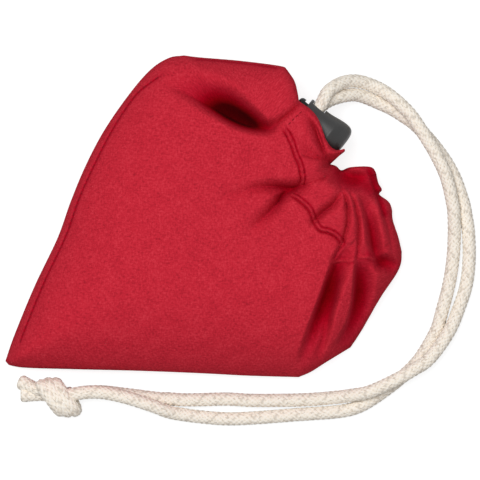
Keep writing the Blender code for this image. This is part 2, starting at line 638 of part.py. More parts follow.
def strand_points(side):
    """The strand's tube points, spaced along its smooth route and ended just short of the knot."""
    points = strand_route(side)
    points[-1, 0] = knot_face(points[-1, 1]) + CORD_GAP
    return points


def knot_mesh():
    """The end knot as a rounded lump."""
    middle = np.array([KNOT_X, KNOT_Y, KNOT_HALF[2] + 0.1])
    turn = np.linspace(0, 2 * math.pi, 24, endpoint=False)
    power = 2 / KNOT_POWER
    rings = []
    for tilt in np.radians(np.linspace(-78, 78, 9)):
        out = math.cos(tilt) ** power
        lift = math.copysign(abs(math.sin(tilt)) ** power, tilt)
        lobes = 1 + KNOT_LOBE * np.cos(3 * turn + 2.2 * tilt)
        x = middle[0] + KNOT_HALF[0] * out * lobes * np.sign(np.cos(turn)) * np.abs(np.cos(turn)) ** power
        y = middle[1] + KNOT_HALF[1] * out * lobes * np.sign(np.sin(turn)) * np.abs(np.sin(turn)) ** power
        rings.append(np.column_stack([x, y, np.full(len(x), middle[2] + KNOT_HALF[2] * lift)]))
    low = middle - (0, 0, KNOT_HALF[2])
    return stack_mesh("end_knot", rings, low, middle + (0, 0, KNOT_HALF[2]))


def tail_mesh(name, end, start_y):
    """One cord tail past the knot, a little spread at its cut end."""
    low = np.array([KNOT_X - 2.0, start_y, CORD_DIAMETER / 2 + 0.1])
    high = np.array([*end, CORD_DIAMETER / 2 + 0.1])
    ahead = (high - low) / np.linalg.norm(high - low)
    side = np.array([-ahead[1], ahead[0], 0])
    turn = np.linspace(0, 2 * math.pi, 12, endpoint=False)
    rings = []
    for share, spread in ((0, 1.0), (0.55, 1.0), (0.85, 1.04), (1, 1.1)):
        spot = low + (high - low) * share
        radius = CORD_DIAMETER / 2
        across = np.cos(turn)[:, None] * side * radius * spread
        rings.append(spot + across + np.sin(turn)[:, None] * np.array([0, 0, radius]))
    return stack_mesh(name, rings)


def clear_scene():
    for obj in list(bpy.data.objects):
        bpy.data.objects.remove(obj, do_unlink=True)


def make_pouch(cloth):
    pouch = add_object("pouch", pouch_mesh(), cloth)
    columns = cavity_columns()
    hollow = add_object("hollow_cutter", hollow_mesh("hollow_cutter", columns, 0, 0, CAVITY_RINGS), helper=True)
    mouth = add_object("mouth_cutter", mouth_mesh(), helper=True)
    filling = hollow_mesh("folded_bag", columns, FILL_CLEARANCE, FILL_REST, CAVITY_RINGS[1:])
    add_object("folded_bag", filling, cloth)
    cut(pouch, hollow)
    cut(pouch, mouth)
    return pouch


def make_lock(axis, pouch, plastic, steel):
    """The lock's pieces on its axis, and the pocket and cord tunnel that the pouch has for it."""
    barrel = add_object("lock_barrel", barrel_mesh(), plastic)
    plunger = add_object("lock_plunger", plunger_mesh(), plastic)
    spring = add_object("lock_spring", spring_curve(), steel)
    hole = window_cutter("barrel_window", -HOLE_HALF, HOLE_HALF, SLOT_HALF_HEIGHT)
    barrel_window = add_object("barrel_window", hole, helper=True)
    window = window_cutter("plunger_window", -HOLE_HALF - PLUNGER_TRAVEL, HOLE_HALF, SLOT_HALF_HEIGHT)
    plunger_window = add_object("plunger_window", window, helper=True)
    pocket = add_object("pocket_cutter", pocket_mesh(), helper=True)
    tunnel_end = BARREL_HALF_WIDTH + TUNNEL_DEPTH
    tunnel_mesh = window_cutter("tunnel_cutter", -HOLE_HALF, HOLE_HALF, SLOT_HALF_HEIGHT)
    tunnel_mesh.transform(Matrix.Translation((0, -tunnel_end * MM + 2 * BARREL_HALF_WIDTH * MM, 0)))
    tunnel = add_object("tunnel_cutter", tunnel_mesh, helper=True)
    for piece in (barrel, plunger, spring, barrel_window, plunger_window, pocket, tunnel):
        piece.parent = axis
    cut(barrel, barrel_window)
    cut(plunger, plunger_window)
    cut(pouch, pocket)
    cut(pouch, tunnel)


def pocket_mesh():
    """The room for the lock under the hem, one clearance larger than the barrel and the plunger."""
    half_width = BARREL_HALF_WIDTH + POCKET_CLEARANCE
    half_height = BARREL_HALF_HEIGHT + POCKET_CLEARANCE
    far = BARREL_REACH + POCKET_CLEARANCE
    near = -plunger_length_out() - POCKET_CLEARANCE
    stations = ((far, 0.86), (far - 0.7, 0.97), (far - 2.4, 1.0), (12.0, 1.0), (9.0, 0.95), (5.0, 0.90),
                (0.0, 0.90), (-HOLE_HALF - BARREL_RIM_WALL - 0.6, 0.90), (near + 1.2, 0.84), (near, 0.72))
    return stack_mesh("pocket_cutter", lock_rings(stations, half_width, half_height), (far, 0, 0), (near, 0, 0))


def make_cord(cotton):
    for name, side in (("cord_strand_upper", 1), ("cord_strand_lower", -1)):
        tube = tube_curve(name, strand_points(side), CORD_DIAMETER, CORD_SIDES_LEVEL)
        add_object(name, tube, cotton)
    knot = add_object("end_knot", knot_mesh(), cotton)
    for index, end in enumerate(TAIL_ENDS):
        tail = tail_mesh(f"tail_{index + 1}", end, KNOT_Y + 3.4 - 3.0 * index)
        cut(knot, add_object(f"tail_{index + 1}", tail, helper=True), "UNION")


def main():
    clear_scene()
    cloth = metal_or_plastic("red_cotton", (0.56, 0.023, 0.042), 0.9)
    cotton = metal_or_plastic("natural_cord", (0.72, 0.64, 0.52), 0.92)
    plastic = metal_or_plastic("charcoal_plastic", (0.035, 0.037, 0.037), 0.5)
    steel = metal_or_plastic("spring_steel", (0.55, 0.55, 0.56), 0.35, 1.0)
    axis = add_object("lock_axis", None)
    lock_spot = place((LOCK_X, LOCK_Y))
    axis.location = Vector((lock_spot[0], lock_spot[1], LOCK_Z)) * MM
    axis.rotation_euler = (0, 0, math.radians(LOCK_TURN))
    pouch = make_pouch(cloth)
    make_lock(axis, pouch, plastic, steel)
    make_cord(cotton)


main()
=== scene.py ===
"""Looks of a foldable cotton bag: drawn shut in its own pouch, lying flat, with its cord and cord lock.

Lengths worked out here are millimetres and become metres when a mesh is made. X is right, Y is up in
the camera's picture, Z is up from the table. Every piece is a surface worked out on a grid.
"""

import math

import bpy
import numpy as np
from bpy.props import FloatProperty, FloatVectorProperty, PointerProperty
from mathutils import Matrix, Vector


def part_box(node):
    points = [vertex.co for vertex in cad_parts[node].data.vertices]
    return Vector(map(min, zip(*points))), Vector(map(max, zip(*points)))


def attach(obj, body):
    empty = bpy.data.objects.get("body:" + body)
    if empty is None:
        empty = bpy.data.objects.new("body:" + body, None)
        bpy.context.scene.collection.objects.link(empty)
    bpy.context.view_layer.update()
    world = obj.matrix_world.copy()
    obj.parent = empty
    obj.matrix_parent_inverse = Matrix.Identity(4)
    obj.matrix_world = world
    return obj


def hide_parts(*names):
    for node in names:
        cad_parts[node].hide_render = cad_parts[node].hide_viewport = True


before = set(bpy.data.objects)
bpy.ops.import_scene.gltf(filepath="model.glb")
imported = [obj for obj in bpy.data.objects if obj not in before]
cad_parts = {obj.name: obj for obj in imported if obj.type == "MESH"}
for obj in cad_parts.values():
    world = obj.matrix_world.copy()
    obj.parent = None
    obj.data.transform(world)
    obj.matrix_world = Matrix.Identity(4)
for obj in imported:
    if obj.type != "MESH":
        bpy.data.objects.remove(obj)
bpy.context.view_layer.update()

bl_info = {
    "name": "Foldable cotton bag",
    "version": (1, 0, 0),
    "blender": (4, 5, 0),
    "location": "View3D > Sidebar > Cotton bag",
    "description": "Makes the drawn pouch, its cord, knot and cord lock, and the stage they lie on",
    "category": "Add Mesh",
}

MM = 0.001

POUCH_LOW, POUCH_HIGH = (np.array(corner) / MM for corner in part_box("pouch"))
POUCH_HEIGHT = POUCH_HIGH[2] - POUCH_LOW[2]
# The outline, folds and seams are laid out for these sizes, and stretch with the frame's pouch.
LAYOUT_SIZE = np.array([158.4, 128.4])
STRETCH = (POUCH_HIGH - POUCH_LOW)[:2] / LAYOUT_SIZE

# The rings of the pouch's skin close on this point.
MIDDLE = (7.4, -4.6)
CLOTH_THICKNESS = 1.0
PILLOW_POWER = 0.55
FOLD_JOIN = 2.5
# Painted fold shade: a fold this deep has the full shade, and a lesser one has its share to this power.
SHADE_DEPTH = 14.0
SHADE_POWER = 1.3
# Wide, middling and small wrinkles: size, height and seed.
WRINKLES = ((19.0, 0.35, 3), (8.0, 0.16, 5), (3.1, 0.05, 8))
# Shares of the way in from the outline to the middle, underneath, and the row where the flanks start.
UNDER_SHARES = (0.5, 0.2, 0.14, 0.11, 0.085, 0.065, 0.048, 0.034, 0.022, 0.012, 0.005)
FLANK_ROW = 2
# What the fold's painted shade from 0 to 1 multiplies the red by: the painted shade turns deeper and purer
# before it darkens.
PAINTED_SHADE_TINTS = ((0.0, (1.0, 1.0, 1.0)), (0.21, (0.87, 0.52, 0.74)), (0.43, (0.74, 0.07, 0.34)),
              (0.64, (0.54, 0.01, 0.12)), (0.85, (0.16, 0.0, 0.03)))
# The folded bag's top is this share of the skin's height, less this depth, and its floor is level.
FILLING_DEPTH = 4.5
FILLING_SHARE = 0.8
FILLING_FLOOR = 2.2
LOCK_ROOM = 2.0

# The lock's axis runs from the middle of its cord hole to its closed end.
LOCK_SPOT = (42.5, 38.7)
LOCK_Z = 16.5
LOCK_TURN = -38.8
BARREL_HALF_WIDTH = 7.6
BARREL_HALF_HEIGHT = 9.0
BARREL_REACH = 17.0
HOLE_HALF = 2.9
SLOT_HALF_HEIGHT = 5.45
HEM_COVER = 1.3
POCKET_CLEARANCE = 0.5
SECTION_POWER = 2.4
BORE_POWER = 4.0
WINDOW_POWER = 6.0
BARREL_WALL = 1.4
PLUNGER_CLEARANCE = 0.3
PLUNGER_TRAVEL = 3.1
CUT_HALF_WIDTH = 14.0

CORD_DIAMETER = 5.0
BRAID_YARNS = 8
BRAID_STEP = 2.1
YARN_SLACK = 1.5

# The knot's turns are a coil around X: where it starts, its length, and its oval's half sizes.
KNOT_SPOT = (-57.0, -72.2)
KNOT_TURNS = 3.0
KNOT_START = -4.6
KNOT_LENGTH = 8.6
KNOT_SLANT = 3.1
KNOT_HALF_WIDTH = 5.3
KNOT_HALF_HEIGHT = 3.1
KNOT_HEIGHT = 5.6
TAIL_HEIGHT = 2.9
TAIL_ENDS = ((-73.6, -65.9), (-73.0, -71.2))

# Each side of the outline: points, edge heights, reach of the rise to full height, column spacing.
SIDES = (
    (((-79.2, -57.8), (-75.4, -47.0), (-67.4, -27.8), (-58.2, -8.6), (-53.0, 5.8), (-47.0, 20.2),
      (-39.4, 34.6), (-29.4, 49.0), (-21.0, 58.6), (-13.8, 63.2), (-7.8, 64.2)),
     (1.6, 5, 8, 9, 9, 10), (44, 44), 0.9),
    (((-7.8, 64.2), (-1.4, 63.4), (14.6, 62.0), (30.6, 59.8), (33.4, 58.2)),
     (10, 11, 14, 20), (30, 26, 16), 0.5),
    (((33.4, 58.2), (36.2, 53.8), (37.4, 49.4), (38.0, 45.8)), (20, 24, 26), (12, 7), 0.6),
    (((38.0, 45.8), (39.4, 44.7), (42.6, 42.4), (45.4, 39.0), (47.2, 34.6), (48.6, 30.6), (50.6, 27.6),
      (53.0, 26.2), (56.0, 26.8)), (26.5, 27.2, 27.4, 27.2, 25), (5, 5), 0.5),
    (((56.0, 26.8), (56.2, 25.8), (53.8, 23.8), (50.6, 20.8)), (25, 21, 18), (7, 7), 0.5),
    (((50.6, 20.8), (53.0, 20.0), (55.0, 18.4), (58.6, 19.6), (66.2, 19.8), (68.6, 17.8), (69.8, 13.4),
      (71.2, 10.6), (70.2, 8.8), (73.8, 6.0), (75.2, 3.0), (75.6, -1.4), (77.8, -8.2), (79.2, -14.2)),
     (18, 15, 12, 8, 6, 6), (12, 24, 30), 0.5),
    (((79.2, -14.2), (78.8, -19.0), (76.8, -23.4), (70.6, -32.6), (63.3, -45.4), (58.8, -52.3)),
     (6, 5, 4), (32, 32), 0.55),
    (((58.8, -52.3), (49.4, -58.0), (42.9, -62.1), (38.0, -64.2)), (4, 3), (30, 30), 0.6),
    (((38.0, -64.2), (17.8, -63.6), (-1.4, -62.6), (-27.0, -61.6), (-52.6, -61.0), (-71.8, -60.4),
      (-79.2, -59.0)), (3, 5, 5, 1.6), (40, 40), 1.4),
)


def roll(share):
    """A convex quarter round: 1 at the fold's line, falling away steeply at first."""
    rest = 1 - np.clip(share, 0, 1)
    return 1 - np.sqrt(np.maximum(1 - rest**2, 0))


def hang(share):
    """A slack concave slope down to the fold's line: the square of what is left of the way."""
    return (1 - np.clip(share, 0, 1)) ** 2


def cliff(share):
    """A rounded floor that climbs to a sharp shoulder: one less the share to the power 1.6."""
    return 1 - np.clip(share, 0, 1) ** 1.6


def bowl(share):
    """A smooth trough: the square of one less the squared share, level at its floor and at its rim."""
    return (1 - np.clip(share, 0, 1) ** 2) ** 2


# Each fold pressed into the upper side: route, depths along it, reach to the left and right of it
# (one length, or lengths along it), and the shape of those two banks.
FOLDS = (
    (((-16.2, 53.0), (-7.4, 49.0), (2.6, 43.6), (12.6, 38.2), (20.0, 35.6), (25.8, 34.6), (28.2, 35.8),
      (31.2, 38.4)), (0, 3, 7, 14, 19, 18, 9, 0), (9, 11, 13, 13.5, 12, 9, 5, 3), 4.2, bowl, hang),
    (((26.4, 33.8), (28.6, 35.6), (32.2, 38.8), (35.8, 41.8), (39.6, 45.2)),
     (3, 4.2, 3.8, 3.4, 2.6), 3.2, 1.6, hang, roll),
    (((-8.6, 60.2), (-6.2, 57.0), (-1.4, 53.0), (4.6, 49.4), (11.4, 45.4)),
     (0, 1.5, 2.2, 1.5, 0), 7, 8, hang, hang),
    (((29.4, 35.0), (32.2, 34.0), (34.6, 31.0), (36.0, 26.8), (37.7, 22.5), (39.0, 18.6), (39.2, 14.2),
      (37.8, 11.8)), (0, 1.0, 1.2, 1.2, 1.2, 1.6, 2.6, 4), 2.2, 2.2, roll, hang),
    (((39.4, 12.4), (35.4, 11.2), (30.6, 11.6), (25.0, 11.8), (18.6, 10.6), (11.4, 8.6), (3.4, 5.8)),
     (6, 9, 6.5, 3.6, 2.2, 1, 0), 6, 4.5, hang, hang),
    (((36.2, 11.0), (32.2, 9.0), (29.0, 4.6), (25.4, 0.6), (21.4, -3.0), (17.0, -7.8)),
     (7, 9, 6.8, 4.8, 2.6, 0), 5.5, 5, hang, hang),
    (((33.8, 9.4), (37.4, 6.6), (40.2, 4.2), (42.2, 1.4), (43.8, -2.2), (46.2, -5.6), (49.8, -6.8),
      (53.0, -8.8), (54.4, -11.4)), (3, 1.8, 1.3, 1.2, 1.2, 1.2, 1.2, 1.4), 1.8, 2.0, roll, hang),
    (((39.0, 11.8), (42.2, 13.0), (45.8, 14.0), (49.0, 15.4), (51.4, 18.2)),
     (3.4, 2.4, 2.2, 2.4, 2.4), 4, 2.6, hang, roll),
    (((38.6, 25.0), (41.0, 23.6), (44.6, 22.8), (48.6, 22.2), (51.0, 20.6)),
     (1, 2.8, 3.6, 3.2, 2.4), 5, 1.6, hang, roll),
    (((39.8, 41.8), (43.0, 37.8), (45.4, 33.4), (47.0, 29.0), (48.2, 25.0), (49.0, 22.6)),
     (0, 2.2, 5.4, 6.8, 5.4, 3), 2.2, 4.6, roll, hang),
    (((36.6, 30.6), (39.0, 27.8), (42.2, 25.4), (45.8, 23.8)), (0, 1.4, 2.4, 1.6), 5, 4, hang, hang),
    (((43.8, -2.2), (47.4, 1.4), (51.4, 4.6), (54.2, 8.6), (55.4, 13.0)),
     (3.6, 5.2, 5.0, 3.2, 0.4), 3.6, 3.6, hang, hang),
    (((53.0, 15.4), (55.0, 10.6), (56.8, 5.0), (57.2, -1.0), (56.2, -6.2), (54.6, -11.4), (51.8, -16.6)),
     (2, 3.6, 4.4, 4.2, 4, 4.4, 5), 2.6, 2.0, hang, roll),
    (((56.2, 13.0), (59.0, 7.8), (60.8, 1.8), (61.6, -3.8), (61.4, -10.6), (60.8, -16.6)),
     (1.6, 3, 4.2, 4.6, 4.6, 4.6), 2.6, 2.0, hang, roll),
    (((58.2, 13.4), (61.8, 8.2), (64.6, 1.8), (66.4, -5.4), (67.8, -13.4), (69.4, -18.2)),
     (0, 2, 5, 8, 8.6, 6), 5.0, 3.6, bowl, hang),
    (((65.0, 19.4), (66.8, 15.4), (68.6, 10.6), (70.6, 5.4), (72.2, 0.2), (74.2, -6.6), (75.2, -13.4)),
     (2, 4, 3, 3.4, 3, 2, 1.2), 3.2, 1.2, hang, cliff),
    (((67.4, -17.8), (71.8, -18.0), (75.4, -19.4), (77.8, -20.2)),
     (3.4, 9.0, 7.6, 2.6), 4.2, 5.8, bowl, bowl),
    (((70.6, -13.8), (73.0, -12.0), (75.0, -13.0)), (0.4, 1.6, 0.4), 2.2, 2.2, hang, hang),
    (((53.0, 19.4), (57.4, 15.8), (62.0, 15.2), (65.8, 16.0)), (4, 8.6, 9.6, 6), 4.6, 8.0, bowl, bowl),
    (((57.4, -12.6), (55.0, -15.8), (52.6, -20.2), (50.8, -25.0), (48.8, -31.0), (46.6, -37.0),
      (44.2, -43.4), (42.2, -49.0), (40.4, -54.2), (38.6, -60.6)),
     (2, 6, 9.5, 11.4, 11.4, 10.4, 8.4, 5.8, 3, 0), 6.6, 2.7, bowl, cliff),
    (((52.6, -18.2), (52.4, -25.4), (51.6, -31.0), (50.0, -37.4), (48.6, -43.8), (47.0, -50.6),
      (43.4, -59.4)), (2.6, 5.6, 7.4, 7.2, 5.8, 3.6, 0), 3.2, 3.4, bowl, bowl),
    (((61.8, -17.0), (61.8, -22.6), (61.4, -29.4), (60.6, -35.4), (59.0, -41.4), (56.4, -47.0),
      (52.2, -54.2)), (3, 9.2, 11.2, 10.4, 8, 5, 0), 7.8, 2.3, bowl, cliff),
)

# Each raised seam: route, and whether it has two rows or one.
SEAMS = (
    (((31.8, 34.8), (33.8, 32.4), (35.3, 29.2), (36.2, 26.6), (37.0, 23.8), (38.4, 21.0), (39.2, 18.2),
      (39.6, 14.2), (38.6, 11.8)), 2),
    (((34.6, 9.2), (37.2, 7.4), (40.2, 5.2), (42.5, 2.6), (44.2, -1.4), (46.4, -4.8), (49.8, -5.8),
      (53.3, -7.8), (55.0, -10.5), (53.8, -12.2)), 2),
    (((51.0, -18.0), (55.0, -17.8), (60.1, -17.6)), 1),
    (((61.4, -16.4), (65.4, -16.4), (68.6, -17.0)), 1),
)
# Strips of painted shade only, with no fold under them, on places between the gathered layers that get little
# light: route, shade from 0 to 1, and reach.
PAINTED_SHADE_STRIPS = (
    (((54.0, 17.6), (58.6, 15.0), (63.0, 13.4), (66.6, 11.0)), 0.42, 5.0),
    (((66.2, 17.8), (67.8, 14.0), (68.8, 10.2)), 0.55, 2.8),
    (((69.4, 8.4), (71.0, 4.6), (72.2, 0.8)), 0.5, 2.2),
    (((66.0, -15.4), (70.4, -17.4), (75.0, -18.8)), 0.35, 3.6),
)
SEAM_RISE = 0.75
SEAM_SPREAD = 0.5
SEAM_GAP = 0.95
SEAM_GROOVE = 1.0
GROOVE_SPREAD = 0.36
SEAM_PUCKER = 0.3
SEAM_WANDER = 0.22
PUCKER_STEP = 2.6
SEAM_END = 0.06
SINGLE_SEAM = 0.6
# Painted shade in a seam's groove.
GROOVE_SHADE = 0.55

# Each hem's stitched line, pressed in a little: route and depth.
HEMS = (
    (((-15.4, 57.0), (-24.6, 50.4), (-29.8, 44.4), (-36.6, 33.6), (-43.6, 20.0), (-49.6, 6.6),
      (-54.6, -7.6), (-63.4, -26.4), (-71.2, -45.4), (-73.6, -52.6)), 0.6),
    (((-4.0, 62.4), (2.0, 62.2), (14.6, 60.9), (24.0, 59.7), (30.0, 58.7)), 0.5),
)

HEM_SPREAD = 0.42
HEM_END = 0.04

# The route of the row of stitches on the flap's band.
BAND_STITCHES = ((40.6, 42.8), (37.6, 40.2), (34.8, 37.4), (32.6, 34.8))

# The cord's two strands, as rows along the pair: x and y of its middle, the lower strand's height,
# half the spread, and the roll of the upper strand over the lower one, as in the frame's source.
CORD_ROUTE = (
    (34.3, 28.6, 13.85, 2.65, 90), (42.5, 38.7, 13.85, 2.65, 90), (46.9, 44.2, 13.7, 2.7, 86),
    (51.1, 48.5, 11.6, 2.85, 50), (57.0, 51.0, 8.2, 2.85, 20), (62.3, 51.1, 5.4, 2.75, 4),
    (68.4, 49.0, 2.9, 2.7, 8), (75.1, 45.3, 2.6, 2.7, 42), (81.4, 40.4, 2.6, 2.7, 66),
    (86.2, 35.3, 2.6, 2.72, 88), (93.2, 25.8, 2.6, 2.72, 108), (98.4, 16.2, 2.6, 2.72, 124),
    (101.6, 5.6, 2.6, 2.72, 142), (102.5, 0.0, 2.6, 2.7, 154), (103.1, -7.8, 2.6, 2.9, 176),
    (102.9, -17.4, 2.6, 3.25, 180), (101.6, -27.0, 2.6, 3.4, 180), (98.8, -36.7, 2.6, 3.05, 180),
    (95.3, -46.1, 2.6, 2.7, 212), (89.0, -55.8, 2.6, 2.72, 236), (83.8, -60.6, 2.6, 2.72, 260),
    (76.6, -65.8, 2.6, 2.72, 280), (66.8, -71.5, 2.6, 2.75, 306), (59.0, -74.2, 2.6, 2.9, 340),
    (50.6, -75.4, 2.6, 2.9, 358), (38.6, -76.2, 2.6, 2.9, 360), (20.2, -77.0, 2.6, 3.5, 360),
    (9.0, -76.9, 2.6, 3.95, 360), (-2.2, -76.6, 2.6, 3.35, 360), (-10.0, -76.0, 2.6, 2.85, 368),
    (-14.4, -75.3, 2.6, 2.8, 388), (-19.0, -74.3, 2.6, 2.7, 412), (-30.2, -71.8, 2.6, 2.72, 438),
    (-40.0, -70.2, 2.6, 2.72, 448), (-46.6, -70.2, 2.6, 2.72, 450), (-51.0, -70.8, 3.2, 2.4, 452),
    (-54.5, -71.6, 3.8, 1.9, 454),
)


# Lines and grids.


def place(points):
    """Layout points stretched to the frame's pouch."""
    return np.asarray(points, float) * STRETCH


def curve_through(points, count):
    """A Catmull-Rom curve: each span is a cubic whose slope at a point is half the step past it."""
    knots = np.asarray(points, float)
    last = len(knots) - 1
    at = np.linspace(0, last, count)
    first = np.minimum(at.astype(int), last - 1)
    part = (at - first)[:, None]
    padded = np.vstack([2 * knots[0] - knots[1], knots, 2 * knots[-1] - knots[-2]])
    a, b, c, d = (padded[first + step] for step in range(4))
    cubic = (3 * b - a - 3 * c + d) * part**3
    return 0.5 * (2 * b + (c - a) * part + (2 * a - 5 * b + 4 * c - d) * part**2 + cubic)


def run_along(line):
    """The length travelled at each point of a line."""
    return np.concatenate([[0], np.cumsum(np.linalg.norm(np.diff(line, axis=0), axis=1))])


def read_line(line, at, run=None):
    """The line's columns at travelled lengths."""
    run = run_along(line) if run is None else run
    return np.stack([np.interp(at, run, column) for column in line.T], axis=1)


def values_along(share, values):
    """The values spread smoothly over 0 to 1, read at share."""
    line = curve_through(np.asarray(values, float)[:, None], 65)[:, 0]
    return np.interp(share, np.linspace(0, 1, len(line)), line)


def border(step=None):
    """The outline as points with their edge height and rise, at one step or at each side's own."""
    parts = []
    for points, heights, rises, own_step in SIDES:
        line = curve_through(place(points), 400)
        run = run_along(line)
        count = max(2, round(run[-1] / (step or own_step)))
        at = np.linspace(0, run[-1], count + 1)[:-1]
        share = at / run[-1]
        levels = values_along(share, heights), values_along(share, rises)
        parts.append(np.column_stack([read_line(line, at, run), *levels]))
    return np.vstack(parts)


BORDER = border(0.6)
BORDER_STEP = np.linalg.norm(np.roll(BORDER[:, :2], -1, axis=0) - BORDER[:, :2], axis=1)


def line_distance(points, line):
    """Distance to a line, positive on the left of its travel, and the share of its length there."""
    best = np.full(len(points), 1e9)
    side = np.ones(len(points))
    share = np.zeros(len(points))
    legs = np.diff(line, axis=0)
    run = run_along(line)
    for index, leg in enumerate(legs):
        offset = points - line[index]
        part = np.clip(offset @ leg / (leg @ leg), 0, 1)
        away = ((offset - part[:, None] * leg) ** 2).sum(axis=1)
        nearer = away < best
        best[nearer] = away[nearer]
        cross = leg[0] * offset[:, 1] - leg[1] * offset[:, 0]
        side[nearer] = np.where(cross[nearer] < 0, -1, 1)
        share[nearer] = (run[index] + part[nearer] * (run[index + 1] - run[index])) / run[-1]
    return np.sqrt(best) * side, share


def close_to(points, line, reach):
    """Which points lie in the line's own box, grown by reach."""
    return ((points > line.min(axis=0) - reach) & (points < line.max(axis=0) + reach)).all(axis=1)


def beside(points, route, reach, count=64):
    """Which points lie near a route's curve, how far from it, the share of its length, and its length."""
    line = curve_through(place(route), count)
    near = close_to(points, line, reach)
    away, share = line_distance(points[near], line)
    return near, away, share, run_along(line)[-1]


def fade_ends(share, part):
    """1 along a line, falling evenly to 0 over a part of its length at each end."""
    return np.clip(share / part, 0, 1) * np.clip((1 - share) / part, 0, 1)


def reach_along(share, reach):
    """A fold's reach at shares of its length, from one length or from lengths along it."""
    return reach if np.ndim(reach) == 0 else values_along(share, reach)


def soft_noise(points, size, seed):
    """Smooth random heights from -1 to 1: random values on a square grid of that size, blended between."""
    table = np.random.default_rng(seed).uniform(-1, 1, (64, 64))
    spot = points / size
    cell = np.floor(spot).astype(int)
    part = spot - cell
    part = part * part * (3 - 2 * part)
    x, y = cell[:, 0] % 64, cell[:, 1] % 64
    low = table[x, y] * (1 - part[:, 0]) + table[(x + 1) % 64, y] * part[:, 0]
    high = table[x, (y + 1) % 64] * (1 - part[:, 0]) + table[(x + 1) % 64, (y + 1) % 64] * part[:, 0]
    return low * (1 - part[:, 1]) + high * part[:, 1]


def grid_faces(rows, columns, closed_rows=False, closed_columns=False):
    """Four corners for each cell of a grid of points, row by row."""
    row = np.arange(rows if closed_rows else rows - 1)
    column = np.arange(columns if closed_columns else columns - 1)
    r, c = (part.ravel() for part in np.meshgrid(row, column, indexing="ij"))
    r_next, c_next = (r + 1) % rows, (c + 1) % columns
    corners = (r * columns + c, r * columns + c_next, r_next * columns + c_next, r_next * columns + c)
    return np.stack(corners, axis=1)


def end_caps(rows, columns):
    """The first and the last ring of a tube as two faces, wound to go with grid_faces."""
    ring = np.arange(columns)
    return np.stack([ring[::-1], (rows - 1) * columns + ring])


def mesh_object(name, points, faces, corner_uv=None, material=None):
    """A smooth mesh object from points in millimetres, and faces as index arrays."""
    mesh = bpy.data.meshes.new(name)
    counts = np.concatenate([np.full(len(part), part.shape[1]) for part in faces])
    corners = np.concatenate([part.ravel() for part in faces]).astype(np.int32)
    mesh.vertices.add(len(points))
    mesh.vertices.foreach_set("co", (np.asarray(points) * MM).astype(np.float32).ravel())
    mesh.loops.add(len(corners))
    mesh.loops.foreach_set("vertex_index", corners)
    mesh.polygons.add(len(counts))
    starts = np.concatenate([[0], np.cumsum(counts)[:-1]]).astype(np.int32)
    mesh.polygons.foreach_set("loop_start", starts)
    mesh.polygons.foreach_set("use_smooth", np.ones(len(counts), bool))
    if corner_uv is not None:
        layer = mesh.uv_layers.new(name="UVMap")
        layer.data.foreach_set("uv", (corner_uv * MM).astype(np.float32).ravel())
    mesh.update(calc_edges=True)
    mesh.validate()
    obj = bpy.data.objects.new(name, mesh)
    bpy.context.scene.collection.objects.link(obj)
    if material:
        mesh.materials.append(material)
    return obj


def store_values(obj, name, values):
    """Keeps one number for each point of the mesh, for its material to read."""
    layer = obj.data.attributes.new(name, "FLOAT", "POINT")
    layer.data.foreach_set("value", np.asarray(values, np.float32))


def finish_piece(obj, node_names, body="bag"):
    """Says which body the piece rides on, which frame nodes it stands for."""
    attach(obj, body)
    if node_names:
        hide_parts(*node_names)


# The pouch's surface.


def pillow(points):
    """Height of the filled pouch without its folds.

    Every outline point pulls the edge height by its inverse fourth power of distance, and the rise by
    its inverse fifth, so that nothing jumps. The height climbs a power of a parabola of that rise.
    """
    return np.concatenate([pillow_share(part) for part in np.array_split(points, len(points) // 4000 + 1)])


def pillow_share(points):
    """The pillow's height at some of the points, few enough to set against the whole outline."""
    gap = points[:, None, :] - BORDER[None, :, :2]
    square = (gap**2).sum(axis=2) + 1e-6
    weight = BORDER_STEP / square**2
    share = (0.75 * (weight / np.sqrt(square) * BORDER[:, 3] ** 4).sum(axis=1)) ** -0.25
    share = np.clip(share * np.clip(np.sqrt(square.min(axis=1)) / 0.8, 0, 1), 0, 1)
    edge = (weight * BORDER[:, 2]).sum(axis=1) / weight.sum(axis=1)
    return edge + (POUCH_HEIGHT - edge) * (1 - (1 - share) ** 2) ** PILLOW_POWER


def lock_plan(points):
    """Plan positions as distances along and across the lock's axis."""
    turn = math.radians(LOCK_TURN)
    offset = points - place(LOCK_SPOT)
    return offset @ (math.cos(turn), math.sin(turn)), offset @ (-math.sin(turn), math.cos(turn))


def barrel_scale(along):
    """The lock's section along its axis, as a share of its largest: a waist and a flared closed end."""
    stations = (-4.2, -3.4, 0.0, 5.0, 9.0, 13.0, BARREL_REACH - 1.6, BARREL_REACH - 0.5, BARREL_REACH)
    return np.interp(along, stations, (0.86, 0.90, 0.885, 0.885, 0.94, 0.99, 1.0, 0.95, 0.84))


def lock_cover(points):
    """The lowest height that the cloth may have over the lock: its section, grown by the cloth."""
    along, across = lock_plan(points)
    size = barrel_scale(along)
    share = np.clip(np.abs(across) / (BARREL_HALF_WIDTH * size + POCKET_CLEARANCE), 0, 1)
    height = BARREL_HALF_HEIGHT * size + POCKET_CLEARANCE
    height = height * (1 - share**SECTION_POWER) ** (1 / SECTION_POWER)
    over = (share < 1) & (along > -9.2) & (along < BARREL_REACH + 1)
    return np.where(over, LOCK_Z + height + HEM_COVER, 0)


